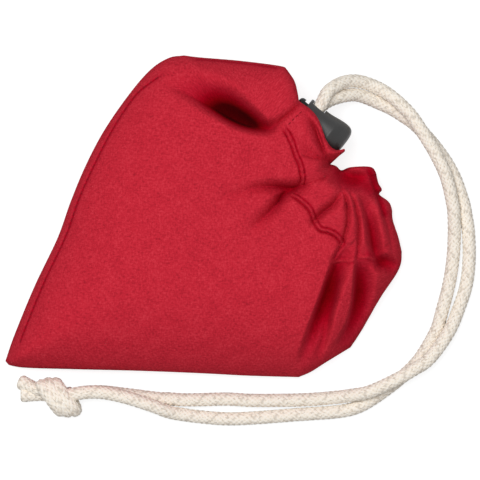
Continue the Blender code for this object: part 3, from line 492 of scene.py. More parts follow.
def cloth_form(points):
    """Height of the cloth, and the painted shade for how little light its folds let in, from 0 to 1.

    The height is the pillow less its folds, plus seams, wrinkles and the cover of the lock. Folds
    that meet are joined by the 2.5th root of the sum of their 2.5th powers, so the deeper one wins
    softly. A seam is a bell-shaped ridge between two bell-shaped grooves, all puckered along its
    length by a sine; a single seam has its groove on one side. A hem's line is one shallow groove.
    The painted shade grows with the depth of the folds to the power 1.3, with a bowl of its own along each
    strip of painted shade, and is darkest in a groove.
    """
    height = pillow(points)
    pressed = np.zeros(len(points))
    for route, depths, left, right, left_bank, right_bank in FOLDS:
        near, away, share, _ = beside(points, route, max(np.max(left), np.max(right)))
        left_side = left_bank(away / reach_along(share, left))
        right_side = right_bank(-away / reach_along(share, right))
        bank = np.where(away >= 0, left_side, right_side)
        pressed[near] += (np.maximum(values_along(share, depths), 0) * bank) ** FOLD_JOIN
    pressed = pressed ** (1 / FOLD_JOIN)
    height = height - pressed
    shade = np.clip(pressed / SHADE_DEPTH, 0, 1) ** SHADE_POWER
    for route, strength, reach in PAINTED_SHADE_STRIPS:
        near, away, _, _ = beside(points, route, reach)
        shade[near] = np.maximum(shade[near], strength * bowl(np.abs(away) / reach))
    for route, rows in SEAMS:
        near, away, share, length = beside(points, route, 3.0)
        fade = fade_ends(share, SEAM_END)
        away = away + SEAM_WANDER * soft_noise(points[near], 3.4, 17)
        pucker = 1 + SEAM_PUCKER * np.sin(2 * math.pi * share * length / PUCKER_STEP)
        ridge = np.exp(-((away / SEAM_SPREAD) ** 2))
        off = np.abs(away) - SEAM_GAP if rows > 1 else away + SEAM_GAP
        groove = np.exp(-((off / GROOVE_SPREAD) ** 2))
        strength = fade * (1.0 if rows > 1 else SINGLE_SEAM)
        height[near] += strength * pucker * (SEAM_RISE * ridge - SEAM_GROOVE * groove)
        shade[near] = np.maximum(shade[near] * (1 - fade * ridge), GROOVE_SHADE * strength * groove)
    for route, depth in HEMS:
        near, away, share, _ = beside(points, route, 2.5, 160)
        groove = fade_ends(share, HEM_END) * np.exp(-((away / HEM_SPREAD) ** 2))
        height[near] -= depth * groove
        shade[near] = np.maximum(shade[near], depth * groove)
    height += sum(tall * soft_noise(points, size, seed) for size, tall, seed in WRINKLES)
    cover = lock_cover(points)
    return np.maximum(height, cover), np.where(cover > height, 0, shade)


def upper_side(points):
    """Height of the cloth alone."""
    return cloth_form(points)[0]


def under_side(edge, distance):
    """Height of the underside at a distance in from the outline: it drops from the edge to the table."""
    reach = 3 + 0.16 * edge
    return edge * np.clip(1 - distance / reach, 0, 1) ** 1.5


def pouch_rings():
    """Shares of the way in from the outline: close together over the folds, wider over the plain middle."""
    outer = np.array([0.004, 0.009, 0.015, 0.022, 0.03])
    folded = np.linspace(0.037, 0.60, 88)
    plain = np.linspace(0.60, 1.0, 26)[1:-1]
    return np.concatenate([outer, folded, plain])


def make_pouch(material):
    """The pouch's skin: rings from under its middle, out to the edge and back over the top.

    A column's texture place is its direction times the length travelled over the cloth from the
    middle, so the weave isn't stretched on a steep fold or on the flanks. Underneath, inside the
    flanks, it is the plan itself.
    """
    middle = place(MIDDLE)
    columns = border()
    plan = columns[:, :2]
    count = len(plan)
    edge = np.maximum(upper_side(plan), CLOTH_THICKNESS)
    radius = np.linalg.norm(plan - middle, axis=1)
    under = np.stack([with_height(plan + (middle - plan) * share, under_side(edge, share * radius))
                      for share in UNDER_SHARES])
    rings = pouch_rings()
    spots = (plan[None] + (middle - plan)[None] * rings[:, None, None]).reshape(-1, 2)
    heights, shades = (part.reshape(len(rings), count) for part in cloth_form(spots))
    floor = under_side(edge, rings[:, None] * radius) + CLOTH_THICKNESS
    top = np.dstack([spots.reshape(len(rings), count, 2), np.maximum(heights, floor)])
    rim = with_height(plan, edge)[None]
    rows = np.concatenate([under, rim, top])
    low = np.array([*middle, 0.0])
    high = np.array([*middle, upper_side(middle[None, :])[0]])
    points = np.vstack([rows.reshape(-1, 3), low, high])
    cells = grid_faces(len(rows), count, closed_columns=True)
    column = np.arange(count)
    after = (column + 1) % count
    base = (len(rows) - 1) * count
    bottom_fan = np.stack([after, column, np.full(count, len(points) - 2)], axis=1)
    top_fan = np.stack([base + column, base + after, np.full(count, len(points) - 1)], axis=1)
    over = rows[FLANK_ROW:]
    steps = np.linalg.norm(np.diff(over, axis=0), axis=2)
    hub = np.linalg.norm(over[-1] - high, axis=1)
    travelled = hub + np.concatenate([np.cumsum(steps[::-1], axis=0)[::-1], np.zeros((1, count))])
    travelled = (travelled + np.roll(travelled, 1, axis=1) + np.roll(travelled, -1, axis=1)) / 3
    ahead = (plan - middle) / radius[:, None]
    flat = np.vstack([rows[:, :, :2].reshape(-1, 2), middle, middle])
    cloth = flat.copy()
    spread_out = travelled[:, :, None] * ahead[None] + middle
    cloth[FLANK_ROW * count: len(rows) * count] = spread_out.reshape(-1, 2)
    is_under = cells[:, 0] // count < FLANK_ROW
    uv_cells = np.where(is_under[:, None, None], flat[cells], cloth[cells])
    corner_uv = np.concatenate([part.reshape(-1, 2) for part in (uv_cells, flat[bottom_fan], cloth[top_fan])])
    obj = mesh_object("pouch_cloth", points, (cells, bottom_fan, top_fan), corner_uv, material)
    # The painted fold shade, kept on the top's points for the cloth's material; underneath and at the rim it
    # is 0.
    values = np.zeros(len(points))
    values[(len(under) + 1) * count: len(rows) * count] = shades.ravel()
    store_values(obj, "shade", values)
    finish_piece(obj, ["pouch"])


def with_height(plan, height):
    """Plan points lifted to a height."""
    return np.column_stack([plan, np.broadcast_to(height, len(plan))])


def make_filling(material):
    """The folded bag inside the pouch: rings like the pouch's own, below its skin and clear of the lock."""
    middle = place(MIDDLE)
    plan = border(2.0)[:, :2]
    shares = np.linspace(0.14, 0.96, 26)
    spots = (plan[None] + (middle - plan)[None] * shares[:, None, None]).reshape(-1, 2)
    along, across = lock_plan(spots)
    under_lock = (np.abs(across) < BARREL_HALF_WIDTH + 3) & (along > -14) & (along < BARREL_REACH + 4)
    heights = FILLING_SHARE * upper_side(spots) - FILLING_DEPTH
    heights = np.where(under_lock, np.minimum(heights, LOCK_Z - BARREL_HALF_HEIGHT - LOCK_ROOM), heights)
    low = np.full(len(spots), FILLING_FLOOR)
    heights = np.maximum(heights, low + 0.2)
    top = np.column_stack([spots, heights]).reshape(len(shares), len(plan), 3)
    bottom = np.column_stack([spots, low]).reshape(len(shares), len(plan), 3)
    rows = np.concatenate([bottom[::-1], top])
    count = len(plan)
    cells = grid_faces(len(rows), count, closed_columns=True)
    faces = cells, end_caps(len(rows), count)
    obj = mesh_object("folded_bag_layers", rows.reshape(-1, 3), faces, None, material)
    finish_piece(obj, ["folded_bag"])


# Stitches.


def stitch_rows(name, line, heights, pitch, length, thickness, material):
    """A row of short thread loops: one rounded stick, repeated at even steps and turned along the line."""
    run = run_along(line)
    at = np.arange(pitch, run[-1] - pitch, pitch)
    raised = np.column_stack([line, heights])
    spots = read_line(raised, at, run)
    ends = read_line(raised, at + length, run)
    ahead = ends - spots
    ahead /= np.linalg.norm(ahead, axis=1)[:, None]
    side = np.cross([0, 0, 1.0], ahead)
    side /= np.linalg.norm(side, axis=1)[:, None]
    up = np.cross(ahead, side)
    turn = np.linspace(0, 2 * math.pi, 8, endpoint=False)
    stations = np.array([0.0, 0.06, 0.2, 0.5, 0.8, 0.94, 1.0])
    swell = np.array([0.25, 0.75, 1.0, 1.08, 1.0, 0.75, 0.25])
    sink = np.array([-1.1, -0.4, 0.25, 0.45, 0.25, -0.4, -1.1])
    unit = np.zeros((len(stations), len(turn), 3))
    unit[:, :, 0] = stations[:, None] * length
    unit[:, :, 1] = swell[:, None] * np.cos(turn) * thickness / 2
    unit[:, :, 2] = swell[:, None] * np.sin(turn) * thickness / 2 + sink[:, None] * thickness / 2
    unit = unit.reshape(-1, 3)
    frames = np.stack([ahead, side, up], axis=1)
    points = (spots[:, None, :] + np.einsum("vk,nkj->nvj", unit, frames)).reshape(-1, 3)
    cells = grid_faces(len(stations), len(turn), closed_columns=True)[:, ::-1]
    caps = end_caps(len(stations), len(turn))[:, ::-1]
    offset = np.arange(len(spots))[:, None, None] * len(unit)
    quads = (cells[None] + offset).reshape(-1, 4)
    ends_faces = (caps[None] + offset).reshape(-1, len(turn))
    obj = mesh_object(name, points, (quads, ends_faces), None, material)
    finish_piece(obj, [])


# The cord.


def braid_relief(around, along):
    """A round braid's relief from 0 to 1, and how much of a marker yarn shows, from 0 to 1.

    Two families of ribs wind in opposite turns. Each rib is the root of a raised cosine, and the
    product of the two half-phase cosines lifts one family and sinks the other at every crossing. A
    marker yarn is one rib in four of one family, where that family lies on top.
    """
    spots = np.stack(np.broadcast_arrays(2.5 * around, along), axis=2).reshape(-1, 2)
    slack = YARN_SLACK * soft_noise(spots, 2.4, 21).reshape(along.shape[0], around.shape[1])
    right = BRAID_YARNS * around + 2 * math.pi * along / BRAID_STEP + slack
    left = BRAID_YARNS * around - 2 * math.pi * along / BRAID_STEP + 1.3 * slack
    weave = 0.3 * np.cos(right / 2) * np.cos(left / 2)
    rib_right = np.sqrt(0.5 + 0.5 * np.cos(right)) * (0.7 + weave)
    rib_left = np.sqrt(0.5 + 0.5 * np.cos(left)) * (0.7 - weave)
    marked = np.maximum(np.cos(right / 4), 0) ** 6 * np.clip((rib_right - rib_left) * 6, 0, 1)
    return np.maximum(rib_right, rib_left), marked


def line_frames(line):
    """Level side directions along a line, and the up directions square to them and to the line."""
    ahead = np.gradient(line, axis=0)
    ahead /= np.linalg.norm(ahead, axis=1)[:, None]
    side = np.cross([0, 0, 1.0], ahead)
    side /= np.maximum(np.linalg.norm(side, axis=1)[:, None], 1e-6)
    return side, np.cross(ahead, side)


def braided_tube(name, line, diameter, material, around=60, step=0.32, swell=None):
    """A braided cord along a line, as one closed tube: a circle grown and sunk by the braid's relief.

    Swell is a list of (share of the length, scale) that widens or narrows the circle.
    """
    run = run_along(line)
    at = np.linspace(0, run[-1], max(8, int(run[-1] / step)))
    spine = read_line(line, at, run)
    side, up = line_frames(spine)
    turn = np.linspace(0, 2 * math.pi, around, endpoint=False)
    relief, marked = braid_relief(turn[None, :], at[:, None])
    radius = diameter / 2 * (0.94 + 0.15 * relief)
    if swell:
        spots, scales = zip(*swell)
        radius = radius * np.interp(at / run[-1], spots, scales)[:, None]
    level = np.cos(turn)[None, :, None] * side[:, None, :] * radius[:, :, None]
    raised = np.sin(turn)[None, :, None] * up[:, None, :] * radius[:, :, None]
    points = (spine[:, None, :] + level + raised).reshape(-1, 3)
    points = np.vstack([points, spine[0], spine[-1]])
    cells = grid_faces(len(at), around, closed_columns=True)
    ring = np.arange(around)
    after = (ring + 1) % around
    last = (len(at) - 1) * around
    caps = np.vstack([np.stack([after, ring, np.full(around, len(points) - 2)], axis=1),
                      np.stack([last + ring, last + after, np.full(around, len(points) - 1)], axis=1)])
    u = np.arange(around + 1) / around * math.pi * diameter
    column = cells[:, 0] % around
    corner_u = np.stack([column, column + 1, column + 1, column], axis=1)
    corner_uv = np.stack([u[corner_u], at[cells // around]], axis=2).reshape(-1, 2)
    cap_uv = points[:, :2][caps].reshape(-1, 2)
    obj = mesh_object(name, points, (cells, caps), np.concatenate([corner_uv, cap_uv]), material)
    for label, values in (("relief", relief), ("marker", marked)):
        store_values(obj, label, np.concatenate([values.ravel(), [0.2, 0.2]]))
    return obj


def pair_line(count=1400):
    """The pair's rows on a smooth curve, with the middle raised so that the lower strand lies down."""
    pair = curve_through(CORD_ROUTE, count)
    middle = pair[:, :3].copy()
    tilt = np.radians(pair[:, 4])
    middle[:, 2] += pair[:, 3] * np.abs(np.sin(tilt))
    ahead = np.gradient(middle[:, :2], axis=0)
    ahead /= np.linalg.norm(ahead, axis=1)[:, None]
    left = np.column_stack([-ahead[:, 1], ahead[:, 0]])
    return middle, left, pair[:, 3], tilt


def strand_line(side):
    """One strand's centreline: the pair's middle, moved by the half spread at the pair's roll."""
    middle, left, spread, tilt = pair_line()
    line = middle.copy()
    line[:, :2] += side * (spread * np.cos(tilt))[:, None] * left
    line[:, 2] += side * spread * np.sin(tilt)
    return line


def make_cords(settings, material):
    """Both strands, and the knot with its tails at their end."""
    knot = make_knot(settings, material)
    diameter = settings.diameter / MM
    for name, side in (("cord_strand_upper", 1), ("cord_strand_lower", -1)):
        line = strand_line(side)
        tube = braided_tube(name + "_braid", line, diameter, material)
        finish_piece(tube, [name])


def make_knot(settings, material):
    """The overhand knot: three slanting turns of cord, pulled tight, with two tails past it.

    A turn's place is its pitch along X, a wide oval in Y and Z, and a slant that carries the upper
    half of each turn towards -X as it runs towards +Y.
    """
    diameter = settings.diameter / MM
    full = 2 * math.pi * KNOT_TURNS
    around = np.linspace(0.15, full - 1.0, 320)
    share = around / full
    x = KNOT_SPOT[0] + KNOT_START + KNOT_LENGTH * share - KNOT_SLANT * np.cos(around)
    y = KNOT_SPOT[1] + KNOT_HALF_WIDTH * np.cos(around) * (0.88 + 0.12 * np.sin(math.pi * share))
    z = KNOT_HEIGHT + KNOT_HALF_HEIGHT * np.sin(around)
    knot = braided_tube("end_knot_turns", np.column_stack([x, y, z]), diameter * 1.06, material)
    finish_piece(knot, ["end_knot"])
    # Where each tail starts in the knot, and the height and side of its neck.
    ends = ((-1.5, 2.6, 5.6, 2.9, 4.9), (-1.0, 0.8, 3.6, 1.0, 3.0))
    for index, (end, (start_x, start_y, start_z, neck_y, neck_z)) in enumerate(zip(TAIL_ENDS, ends)):
        start = (KNOT_SPOT[0] + start_x, KNOT_SPOT[1] + start_y, start_z)
        neck = (KNOT_SPOT[0] - 8.6, KNOT_SPOT[1] + neck_y, neck_z)
        past = (KNOT_SPOT[0] - 12.6, 0.5 * (neck[1] + end[1]), 0.5 * (neck_z + TAIL_HEIGHT))
        tail_line = curve_through((start, neck, past, (*end, TAIL_HEIGHT)), 80)
        swell = ((0, 0.96), (0.5, 0.94), (0.78, 1.04), (0.9, 1.12), (0.96, 1.1), (1.0, 0.86))
        tail = braided_tube(f"cord_tail_{index + 1}", tail_line, diameter, material, swell=swell)
        finish_piece(tail, [])
    return knot


# The cord lock.


def lock_section(turn, power):
    """A rounded oval: sine and cosine raised to 2 over the power, which squares its corners."""
    across = np.sign(np.cos(turn)) * np.abs(np.cos(turn)) ** (2 / power)
    height = np.sign(np.sin(turn)) * np.abs(np.sin(turn)) ** (2 / power)
    return across, height


def lock_shell(name, stations, half_width, half_height, power, material=None, around=96):
    """A closed lofted shell through stations of (distance along the axis, width scale, height scale).

    The stations are taken in the axis's own direction, which turns every face outward.
    """
    stations = sorted(stations, key=lambda station: station[0])
    turn = np.linspace(0, 2 * math.pi, around, endpoint=False)
    across, height = lock_section(turn, power)
    along, wide, high = (np.array(column)[:, None] for column in zip(*stations))
    local = np.stack([along + 0 * across, wide * across * half_width, high * height * half_height], axis=2)
    turn_by = math.radians(LOCK_TURN)
    cos, sin = math.cos(turn_by), math.sin(turn_by)
    axes = np.array([[cos, sin, 0], [-sin, cos, 0], [0, 0, 1]])
    points = local.reshape(-1, 3) @ axes + (*place(LOCK_SPOT), LOCK_Z)
    cells = grid_faces(len(along), around, closed_columns=True)
    return mesh_object(name, points, (cells, end_caps(len(along), around)), None, material)


def smooth_stations(stations, count):
    """Stations read off a smooth curve, close together where the ends round over."""
    return [tuple(row) for row in curve_through(stations, count)]


def cut_away(obj, cutter):
    """The object's mesh with the cutter's volume taken out; the cutter is removed."""
    step = obj.modifiers.new("cut", "BOOLEAN")
    step.operation = "DIFFERENCE"
    step.solver = "EXACT"
    step.object = cutter
    seen = obj.evaluated_get(bpy.context.evaluated_depsgraph_get())
    mesh = bpy.data.meshes.new_from_object(seen)
    obj.modifiers.clear()
    mesh.set_sharp_from_angle(angle=math.radians(35))
    obj.data = mesh
    bpy.data.objects.remove(cutter)


def make_lock(material, head_material):
    """The barrel with its bore and cord window, and the plunger's rounded head in the bore."""
    stations = smooth_stations((
        (BARREL_REACH, 0.02, 0.02), (BARREL_REACH - 0.1, 0.42, 0.30), (BARREL_REACH - 0.5, 0.70, 0.52),
        (BARREL_REACH - 1.3, 0.88, 0.68), (BARREL_REACH - 2.6, 0.975, 0.79), (12.6, 1.0, 0.87),
        (11.0, 0.99, 0.94), (9.9, 0.975, 0.985), (9.3, 0.965, 0.99), (8.4, 0.945, 0.965), (5.6, 0.89, 0.90),
        (2.0, 0.875, 0.87),
        (-2.0, 0.885, 0.87), (-3.5, 0.90, 0.88), (-4.05, 0.88, 0.86), (-4.2, 0.84, 0.82)), 96)
    halves = BARREL_HALF_WIDTH, BARREL_HALF_HEIGHT
    barrel = lock_shell("lock_barrel_shell", stations, *halves, SECTION_POWER, material)
    bore_width, bore_height = (0.885 * half - BARREL_WALL for half in halves)
    cut_away(barrel, lock_shell("bore", ((4.5, 1, 1), (-6.0, 1, 1)), bore_width, bore_height, BORE_POWER))
    window = (HOLE_HALF, 1, 1), (-HOLE_HALF, 1, 1)
    cut_away(barrel, lock_shell("window", window, CUT_HALF_WIDTH, SLOT_HALF_HEIGHT, WINDOW_POWER))
    finish_piece(barrel, ["lock_barrel"])
    head = smooth_stations(((-3.2, 1.0, 1.0), (-4.0, 1.0, 1.0), (-6.4, 1.0, 1.0), (-7.4, 0.96, 0.96),
                            (-8.0, 0.82, 0.82), (-8.26, 0.5, 0.5), (-8.3, 0.02, 0.02)), 40)
    plunger_width, plunger_height = bore_width - PLUNGER_CLEARANCE, bore_height - PLUNGER_CLEARANCE
    plunger = lock_shell("lock_plunger_head", head, plunger_width, plunger_height, BORE_POWER, head_material)
    # Pressed right in, the plunger's slot still stops short of the cord.
    slot = (-2.6, 1, 1), (-PLUNGER_TRAVEL - 0.56 * CORD_DIAMETER, 1, 1)
    cut_away(plunger, lock_shell("plunger_slot", slot, CUT_HALF_WIDTH, SLOT_HALF_HEIGHT, WINDOW_POWER))
    finish_piece(plunger, ["lock_plunger"], "plunger")


# Materials.


def new_group(name, inputs, outputs):
    """An empty shader node group with typed sockets, and its input and output nodes."""
    group = bpy.data.node_groups.new(name, "ShaderNodeTree")
    for socket, kind, default in inputs:
        made = group.interface.new_socket(name=socket, in_out="INPUT", socket_type=kind)
        if default is not None:
            made.default_value = default
    for socket, kind in outputs:
        group.interface.new_socket(name=socket, in_out="OUTPUT", socket_type=kind)
    return group, group.nodes.new("NodeGroupInput"), group.nodes.new("NodeGroupOutput")


def feed(tree, socket, value):
    """Links another node's output to a socket, or sets the socket's own value."""
    if isinstance(value, bpy.types.NodeSocket):
        tree.links.new(value, socket)
    else:
        socket.default_value = value


def math_node(tree, operation, first, second=0.0):
    """A Math node fed by sockets or numbers, and its output."""
    node = tree.nodes.new("ShaderNodeMath")
    node.operation = operation
    feed(tree, node.inputs[0], first)
    feed(tree, node.inputs[1], second)
    return node.outputs[0]


def noise_node(tree, vector, scale, detail=2.0, roughness=0.5):
    """A noise texture's value, about 0.5 on the whole."""
    node = tree.nodes.new("ShaderNodeTexNoise")
    node.inputs["Scale"].default_value = scale
    node.inputs["Detail"].default_value = detail
    node.inputs["Roughness"].default_value = roughness
    tree.links.new(vector, node.inputs["Vector"])
    return node.outputs["Fac"]


def stretched(tree, vector, scale, turn=0.0):
    """The vector scaled differently along each axis, and turned about Z."""
    node = tree.nodes.new("ShaderNodeMapping")
    node.inputs["Scale"].default_value = scale
    node.inputs["Rotation"].default_value = (0.0, 0.0, turn)
    tree.links.new(vector, node.inputs["Vector"])
    return node.outputs["Vector"]


def object_place(tree):
    """Object coordinates."""
    return tree.nodes.new("ShaderNodeTexCoord").outputs["Object"]


def map_place(tree):
    """Places on the mesh's own texture map."""
    node = tree.nodes.new("ShaderNodeUVMap")
    node.uv_map = "UVMap"
    return node.outputs["UV"]


def blended(tree, kind, factor, first, second):
    """Two colours blended in the named way."""
    node = tree.nodes.new("ShaderNodeMix")
    node.data_type = "RGBA"
    node.blend_type = kind
    feed(tree, node.inputs["Factor"], factor)
    feed(tree, node.inputs[6], first)
    feed(tree, node.inputs[7], second)
    return node.outputs[2]


def attribute_value(tree, name):
    """A number kept for each point of the mesh."""
    node = tree.nodes.new("ShaderNodeAttribute")
    node.attribute_name = name
    return node.outputs["Fac"]


def weave_group():
    """A plain weave: thread relief, and a mask of lighter and darker yarns."""
    group, start, end = new_group(
        "plain weave",
        [("Vector", "NodeSocketVector", None), ("Threads per metre", "NodeSocketFloat", 2300.0)],
        [("Relief", "NodeSocketFloat"), ("Yarn", "NodeSocketFloat"), ("Blotch", "NodeSocketFloat")],
    )
    split = group.nodes.new("ShaderNodeSeparateXYZ")
    wander = group.nodes.new("ShaderNodeTexNoise")
    wander.inputs["Scale"].default_value = 420.0
    group.links.new(start.outputs["Vector"], wander.inputs["Vector"])
    group.links.new(start.outputs["Vector"], split.inputs[0])
    rate = math_node(group, "MULTIPLY", start.outputs["Threads per metre"], math.pi)
    bend = math_node(group, "MULTIPLY", wander.outputs["Fac"], 11.0)
    turns = [math_node(group, "MULTIPLY", split.outputs[axis], rate) for axis in (0, 1)]
    warp, weft = [math_node(group, "SINE", math_node(group, "ADD", turn, bend)) for turn in turns]
    cell = math_node(group, "ABSOLUTE", math_node(group, "MULTIPLY", warp, weft))
    group.links.new(cell, end.inputs["Relief"])
    runs = ((680.0, 1500.0, 1.0), 0.3), ((1500.0, 680.0, 1.0), -0.2)
    drawn = [stretched(group, start.outputs["Vector"], scale, turn) for scale, turn in runs]
    along_x, along_y = [noise_node(group, vector, 1.0, 3.0, 0.62) for vector in drawn]
    yarn = math_node(group, "MULTIPLY", math_node(group, "ADD", along_x, along_y), 0.5)
    group.links.new(yarn, end.inputs["Yarn"])
    group.links.new(noise_node(group, start.outputs["Vector"], 140.0, 5.0, 0.75), end.inputs["Blotch"])
    return group


def ramp_node(tree, factor, stops):
    """A colour ramp through (place, colour) stops."""
    node = tree.nodes.new("ShaderNodeValToRGB")
    elements = node.color_ramp.elements
    while len(elements) > 2:
        elements.remove(elements[-1])
    for index, (spot, colour) in enumerate(stops):
        element = elements[index] if index < 2 else elements.new(spot)
        element.position = spot
        element.color = (*colour, 1.0)
    tree.links.new(factor, node.inputs["Fac"])
    return node.outputs["Color"]


def new_material(name):
    """A node material, its tree and its shader."""
    material = bpy.data.materials.new(name)
    material.use_nodes = True
    return material, material.node_tree, material.node_tree.nodes["Principled BSDF"]


def scaled(colour, share):
    """A colour times a share."""
    return tuple(share * part for part in colour)


def mixed(colour, other, share):
    """A colour, a share of the way to another."""
    return tuple(a + (b - a) * share for a, b in zip(colour, other))


def bump_node(tree, height, strength, distance):
    """The surface's normal, tilted by a height."""
    node = tree.nodes.new("ShaderNodeBump")
    node.inputs["Strength"].default_value = strength
    node.inputs["Distance"].default_value = distance
    tree.links.new(height, node.inputs["Height"])
    return node.outputs["Normal"]


def cotton_material(settings, weave):
    """Red plain-weave cotton: heathered yarns, painted shade in the folds, a soft sheen and the thread
    relief.
    """
    material, tree, shader = new_material("red cotton")
    cloth = tree.nodes.new("ShaderNodeGroup")
    cloth.node_tree = weave
    cloth.inputs["Threads per metre"].default_value = settings.threads
    tree.links.new(map_place(tree), cloth.inputs["Vector"])
    red = tuple(settings.colour)
    heather = settings.heather
    shade = math_node(tree, "ADD", math_node(tree, "MULTIPLY", cloth.outputs["Yarn"], 0.75),
                      math_node(tree, "MULTIPLY", cloth.outputs["Blotch"], 0.25))
    dark = scaled(red, 1 - 0.9 * heather)
    light = mixed(red, (0.85, 0.08, 0.11), heather)
    dyed = ramp_node(tree, shade, ((0.36, dark), (0.5, red), (0.64, light)))
    # Painted shade: the fold shade kept on the mesh, times the setting, darkens the dyed red through the
    # painted shade tints.
    depth = math_node(tree, "MULTIPLY", attribute_value(tree, "shade"), settings.fold_shade)
    tint = blended(tree, "MULTIPLY", 1.0, dyed, ramp_node(tree, depth, PAINTED_SHADE_TINTS))
    tree.links.new(tint, shader.inputs["Base Color"])
    yarns = math_node(tree, "MULTIPLY", cloth.outputs["Yarn"], 4.0)
    relief = math_node(tree, "ADD", cloth.outputs["Relief"], yarns)
    tree.links.new(bump_node(tree, relief, 0.45, 0.0002), shader.inputs["Normal"])
    shader.inputs["Roughness"].default_value = 0.95
    shader.inputs["Specular IOR Level"].default_value = 0.03
    shader.inputs["Sheen Weight"].default_value = 0.012
    shader.inputs["Sheen Roughness"].default_value = 0.5
    shader.inputs["Sheen Tint"].default_value = (0.9, 0.2, 0.25, 1.0)
    return material


def thread_material(settings):
    """Sewing thread of the cloth's red, a little darker, with a twist on Object coordinates."""
    material, tree, shader = new_material("red sewing thread")
    speck = noise_node(tree, object_place(tree), 2600.0, 2.0)
    red = tuple(settings.colour)
    tint = ramp_node(tree, speck, ((0.3, scaled(red, 0.3)), (0.7, scaled(red, 0.55))))
    tree.links.new(tint, shader.inputs["Base Color"])
    shader.inputs["Roughness"].default_value = 0.8
    shader.inputs["Specular IOR Level"].default_value = 0.05
    return material


def cord_material(settings):
    """Natural braided cotton: cream yarns with painted shade between them and painted light on their crowns,
    grey marker yarns and flecks.
    """
    material, tree, shader = new_material("natural cotton cord")
    spread = map_place(tree)
    cream = tuple(settings.colour)
    brown = tuple(settings.fleck)
    mottled = noise_node(tree, object_place(tree), 520.0, 3.0, 0.6)
    # The braid's relief paints shade between the yarns and light on their crowns; the mottling is the
    # cotton's own.
    shade = math_node(tree, "ADD", math_node(tree, "MULTIPLY", attribute_value(tree, "relief"), 0.75),
                      math_node(tree, "MULTIPLY", mottled, 0.62))
    bright = mixed(cream, (1, 0.97, 0.92), 0.5)
    base = ramp_node(tree, shade, ((0.40, mixed(cream, brown, 0.30)), (0.66, cream), (0.95, bright)))
    flecks = noise_node(tree, stretched(tree, spread, (1500.0, 620.0, 1.0)), 1.0, 1.0, 0.4)
    fleck_mask = math_node(tree, "MULTIPLY", math_node(tree, "GREATER_THAN", flecks, 0.625), 0.5)
    marker = math_node(tree, "MULTIPLY", attribute_value(tree, "marker"), 0.5)
    tint = blended(tree, "MIX", math_node(tree, "MAXIMUM", marker, fleck_mask), base, (*brown, 1.0))
    tree.links.new(tint, shader.inputs["Base Color"])
    fibres = noise_node(tree, stretched(tree, spread, (2600.0, 1200.0, 1.0)), 1.0, 3.0, 0.65)
    tree.links.new(bump_node(tree, fibres, 0.6, 0.0002), shader.inputs["Normal"])
    shader.inputs["Roughness"].default_value = 0.95
    shader.inputs["Specular IOR Level"].default_value = 0.15
    return material


def plastic_material(settings, name="charcoal moulded plastic", share=1.0):
    """Charcoal moulded plastic with a fine eroded texture and slightly lighter worn places."""
    material, tree, shader = new_material(name)
    spot = object_place(tree)
    grain = noise_node(tree, spot, 3800.0, 2.0, 0.5)
    cloudy = noise_node(tree, spot, 160.0, 3.0, 0.5)
    # A share below 1 makes a darker, less glossy copy of the same plastic: painted shade.
    dark = scaled(settings.colour, share)
    tint = ramp_node(tree, cloudy, ((0.35, scaled(dark, 0.85)), (0.65, scaled(dark, 1.25))))
    tree.links.new(tint, shader.inputs["Base Color"])
    tree.links.new(bump_node(tree, grain, 0.35, 0.00008), shader.inputs["Normal"])
    shader.inputs["Roughness"].default_value = 0.46
    shader.inputs["Specular IOR Level"].default_value = 0.5 * share
    return material


def steel_material():
    """Drawn spring wire with fine marks along it."""
    material, tree, shader = new_material("spring wire")
    marks = noise_node(tree, object_place(tree), 1500.0, 2.0)
    tint = ramp_node(tree, marks, ((0.3, (0.42, 0.42, 0.44)), (0.7, (0.62, 0.62, 0.64))))
    tree.links.new(tint, shader.inputs["Base Color"])
    shader.inputs["Metallic"].default_value = 1.0
    shader.inputs["Roughness"].default_value = 0.32
    return material


def filling_material(settings):
    """The folded bag's cotton, on Object coordinates because its solid has no texture map."""
    material, tree, shader = new_material("folded red cotton")
    yarn = noise_node(tree, object_place(tree), 1500.0, 3.0, 0.6)
    red = tuple(settings.colour)
    tint = ramp_node(tree, yarn, ((0.3, scaled(red, 0.7)), (0.6, red)))
    tree.links.new(tint, shader.inputs["Base Color"])
    tree.links.new(bump_node(tree, yarn, 0.4, 0.0001), shader.inputs["Normal"])
    shader.inputs["Roughness"].default_value = 0.92
    return material


def dress_node(name, material):
    """Gives a frame node that stays a finished material."""
    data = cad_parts[name].data
    data.materials.clear()
    data.materials.append(material)


# The stage.


def aim(obj, target):
    """Turns a lamp towards a point."""
    direction = Vector(target) - obj.location
    obj.rotation_mode = "QUATERNION"
    obj.rotation_quaternion = direction.to_track_quat("-Z", "Y")


def make_camera(settings):
    """A long lens straight above, framing the picture's width on the table."""
    data = bpy.data.cameras.new("camera")
    data.sensor_width = 36.0
    data.lens = data.sensor_width * settings.camera_height / settings.frame_width
    camera = bpy.data.objects.new("camera", data)
    bpy.context.scene.collection.objects.link(camera)
    camera.location = (settings.frame_x, settings.frame_y, settings.camera_height)
    data.clip_end = 20.0
    bpy.context.scene.camera = camera


def make_lamp(name, location, size, power, target=(0.0, 0.0, 0.015)):
    """A round area lamp that the camera doesn't see itself."""
    data = bpy.data.lights.new(name, "AREA")
    data.shape = "DISK"
    data.size = size
    data.energy = power
    lamp = bpy.data.objects.new(name, data)
    bpy.context.scene.collection.objects.link(lamp)
    lamp.location = location
    lamp.visible_camera = False
    aim(lamp, target)


def seen_directly(tree):
    """1 for what the camera sees, straight or in a reflection or through glass, and 0 for light."""
    path = tree.nodes.new("ShaderNodeLightPath")
    first = math_node(tree, "MAXIMUM", path.outputs["Is Camera Ray"], path.outputs["Is Glossy Ray"])
    return math_node(tree, "MAXIMUM", first, path.outputs["Is Transmission Ray"])


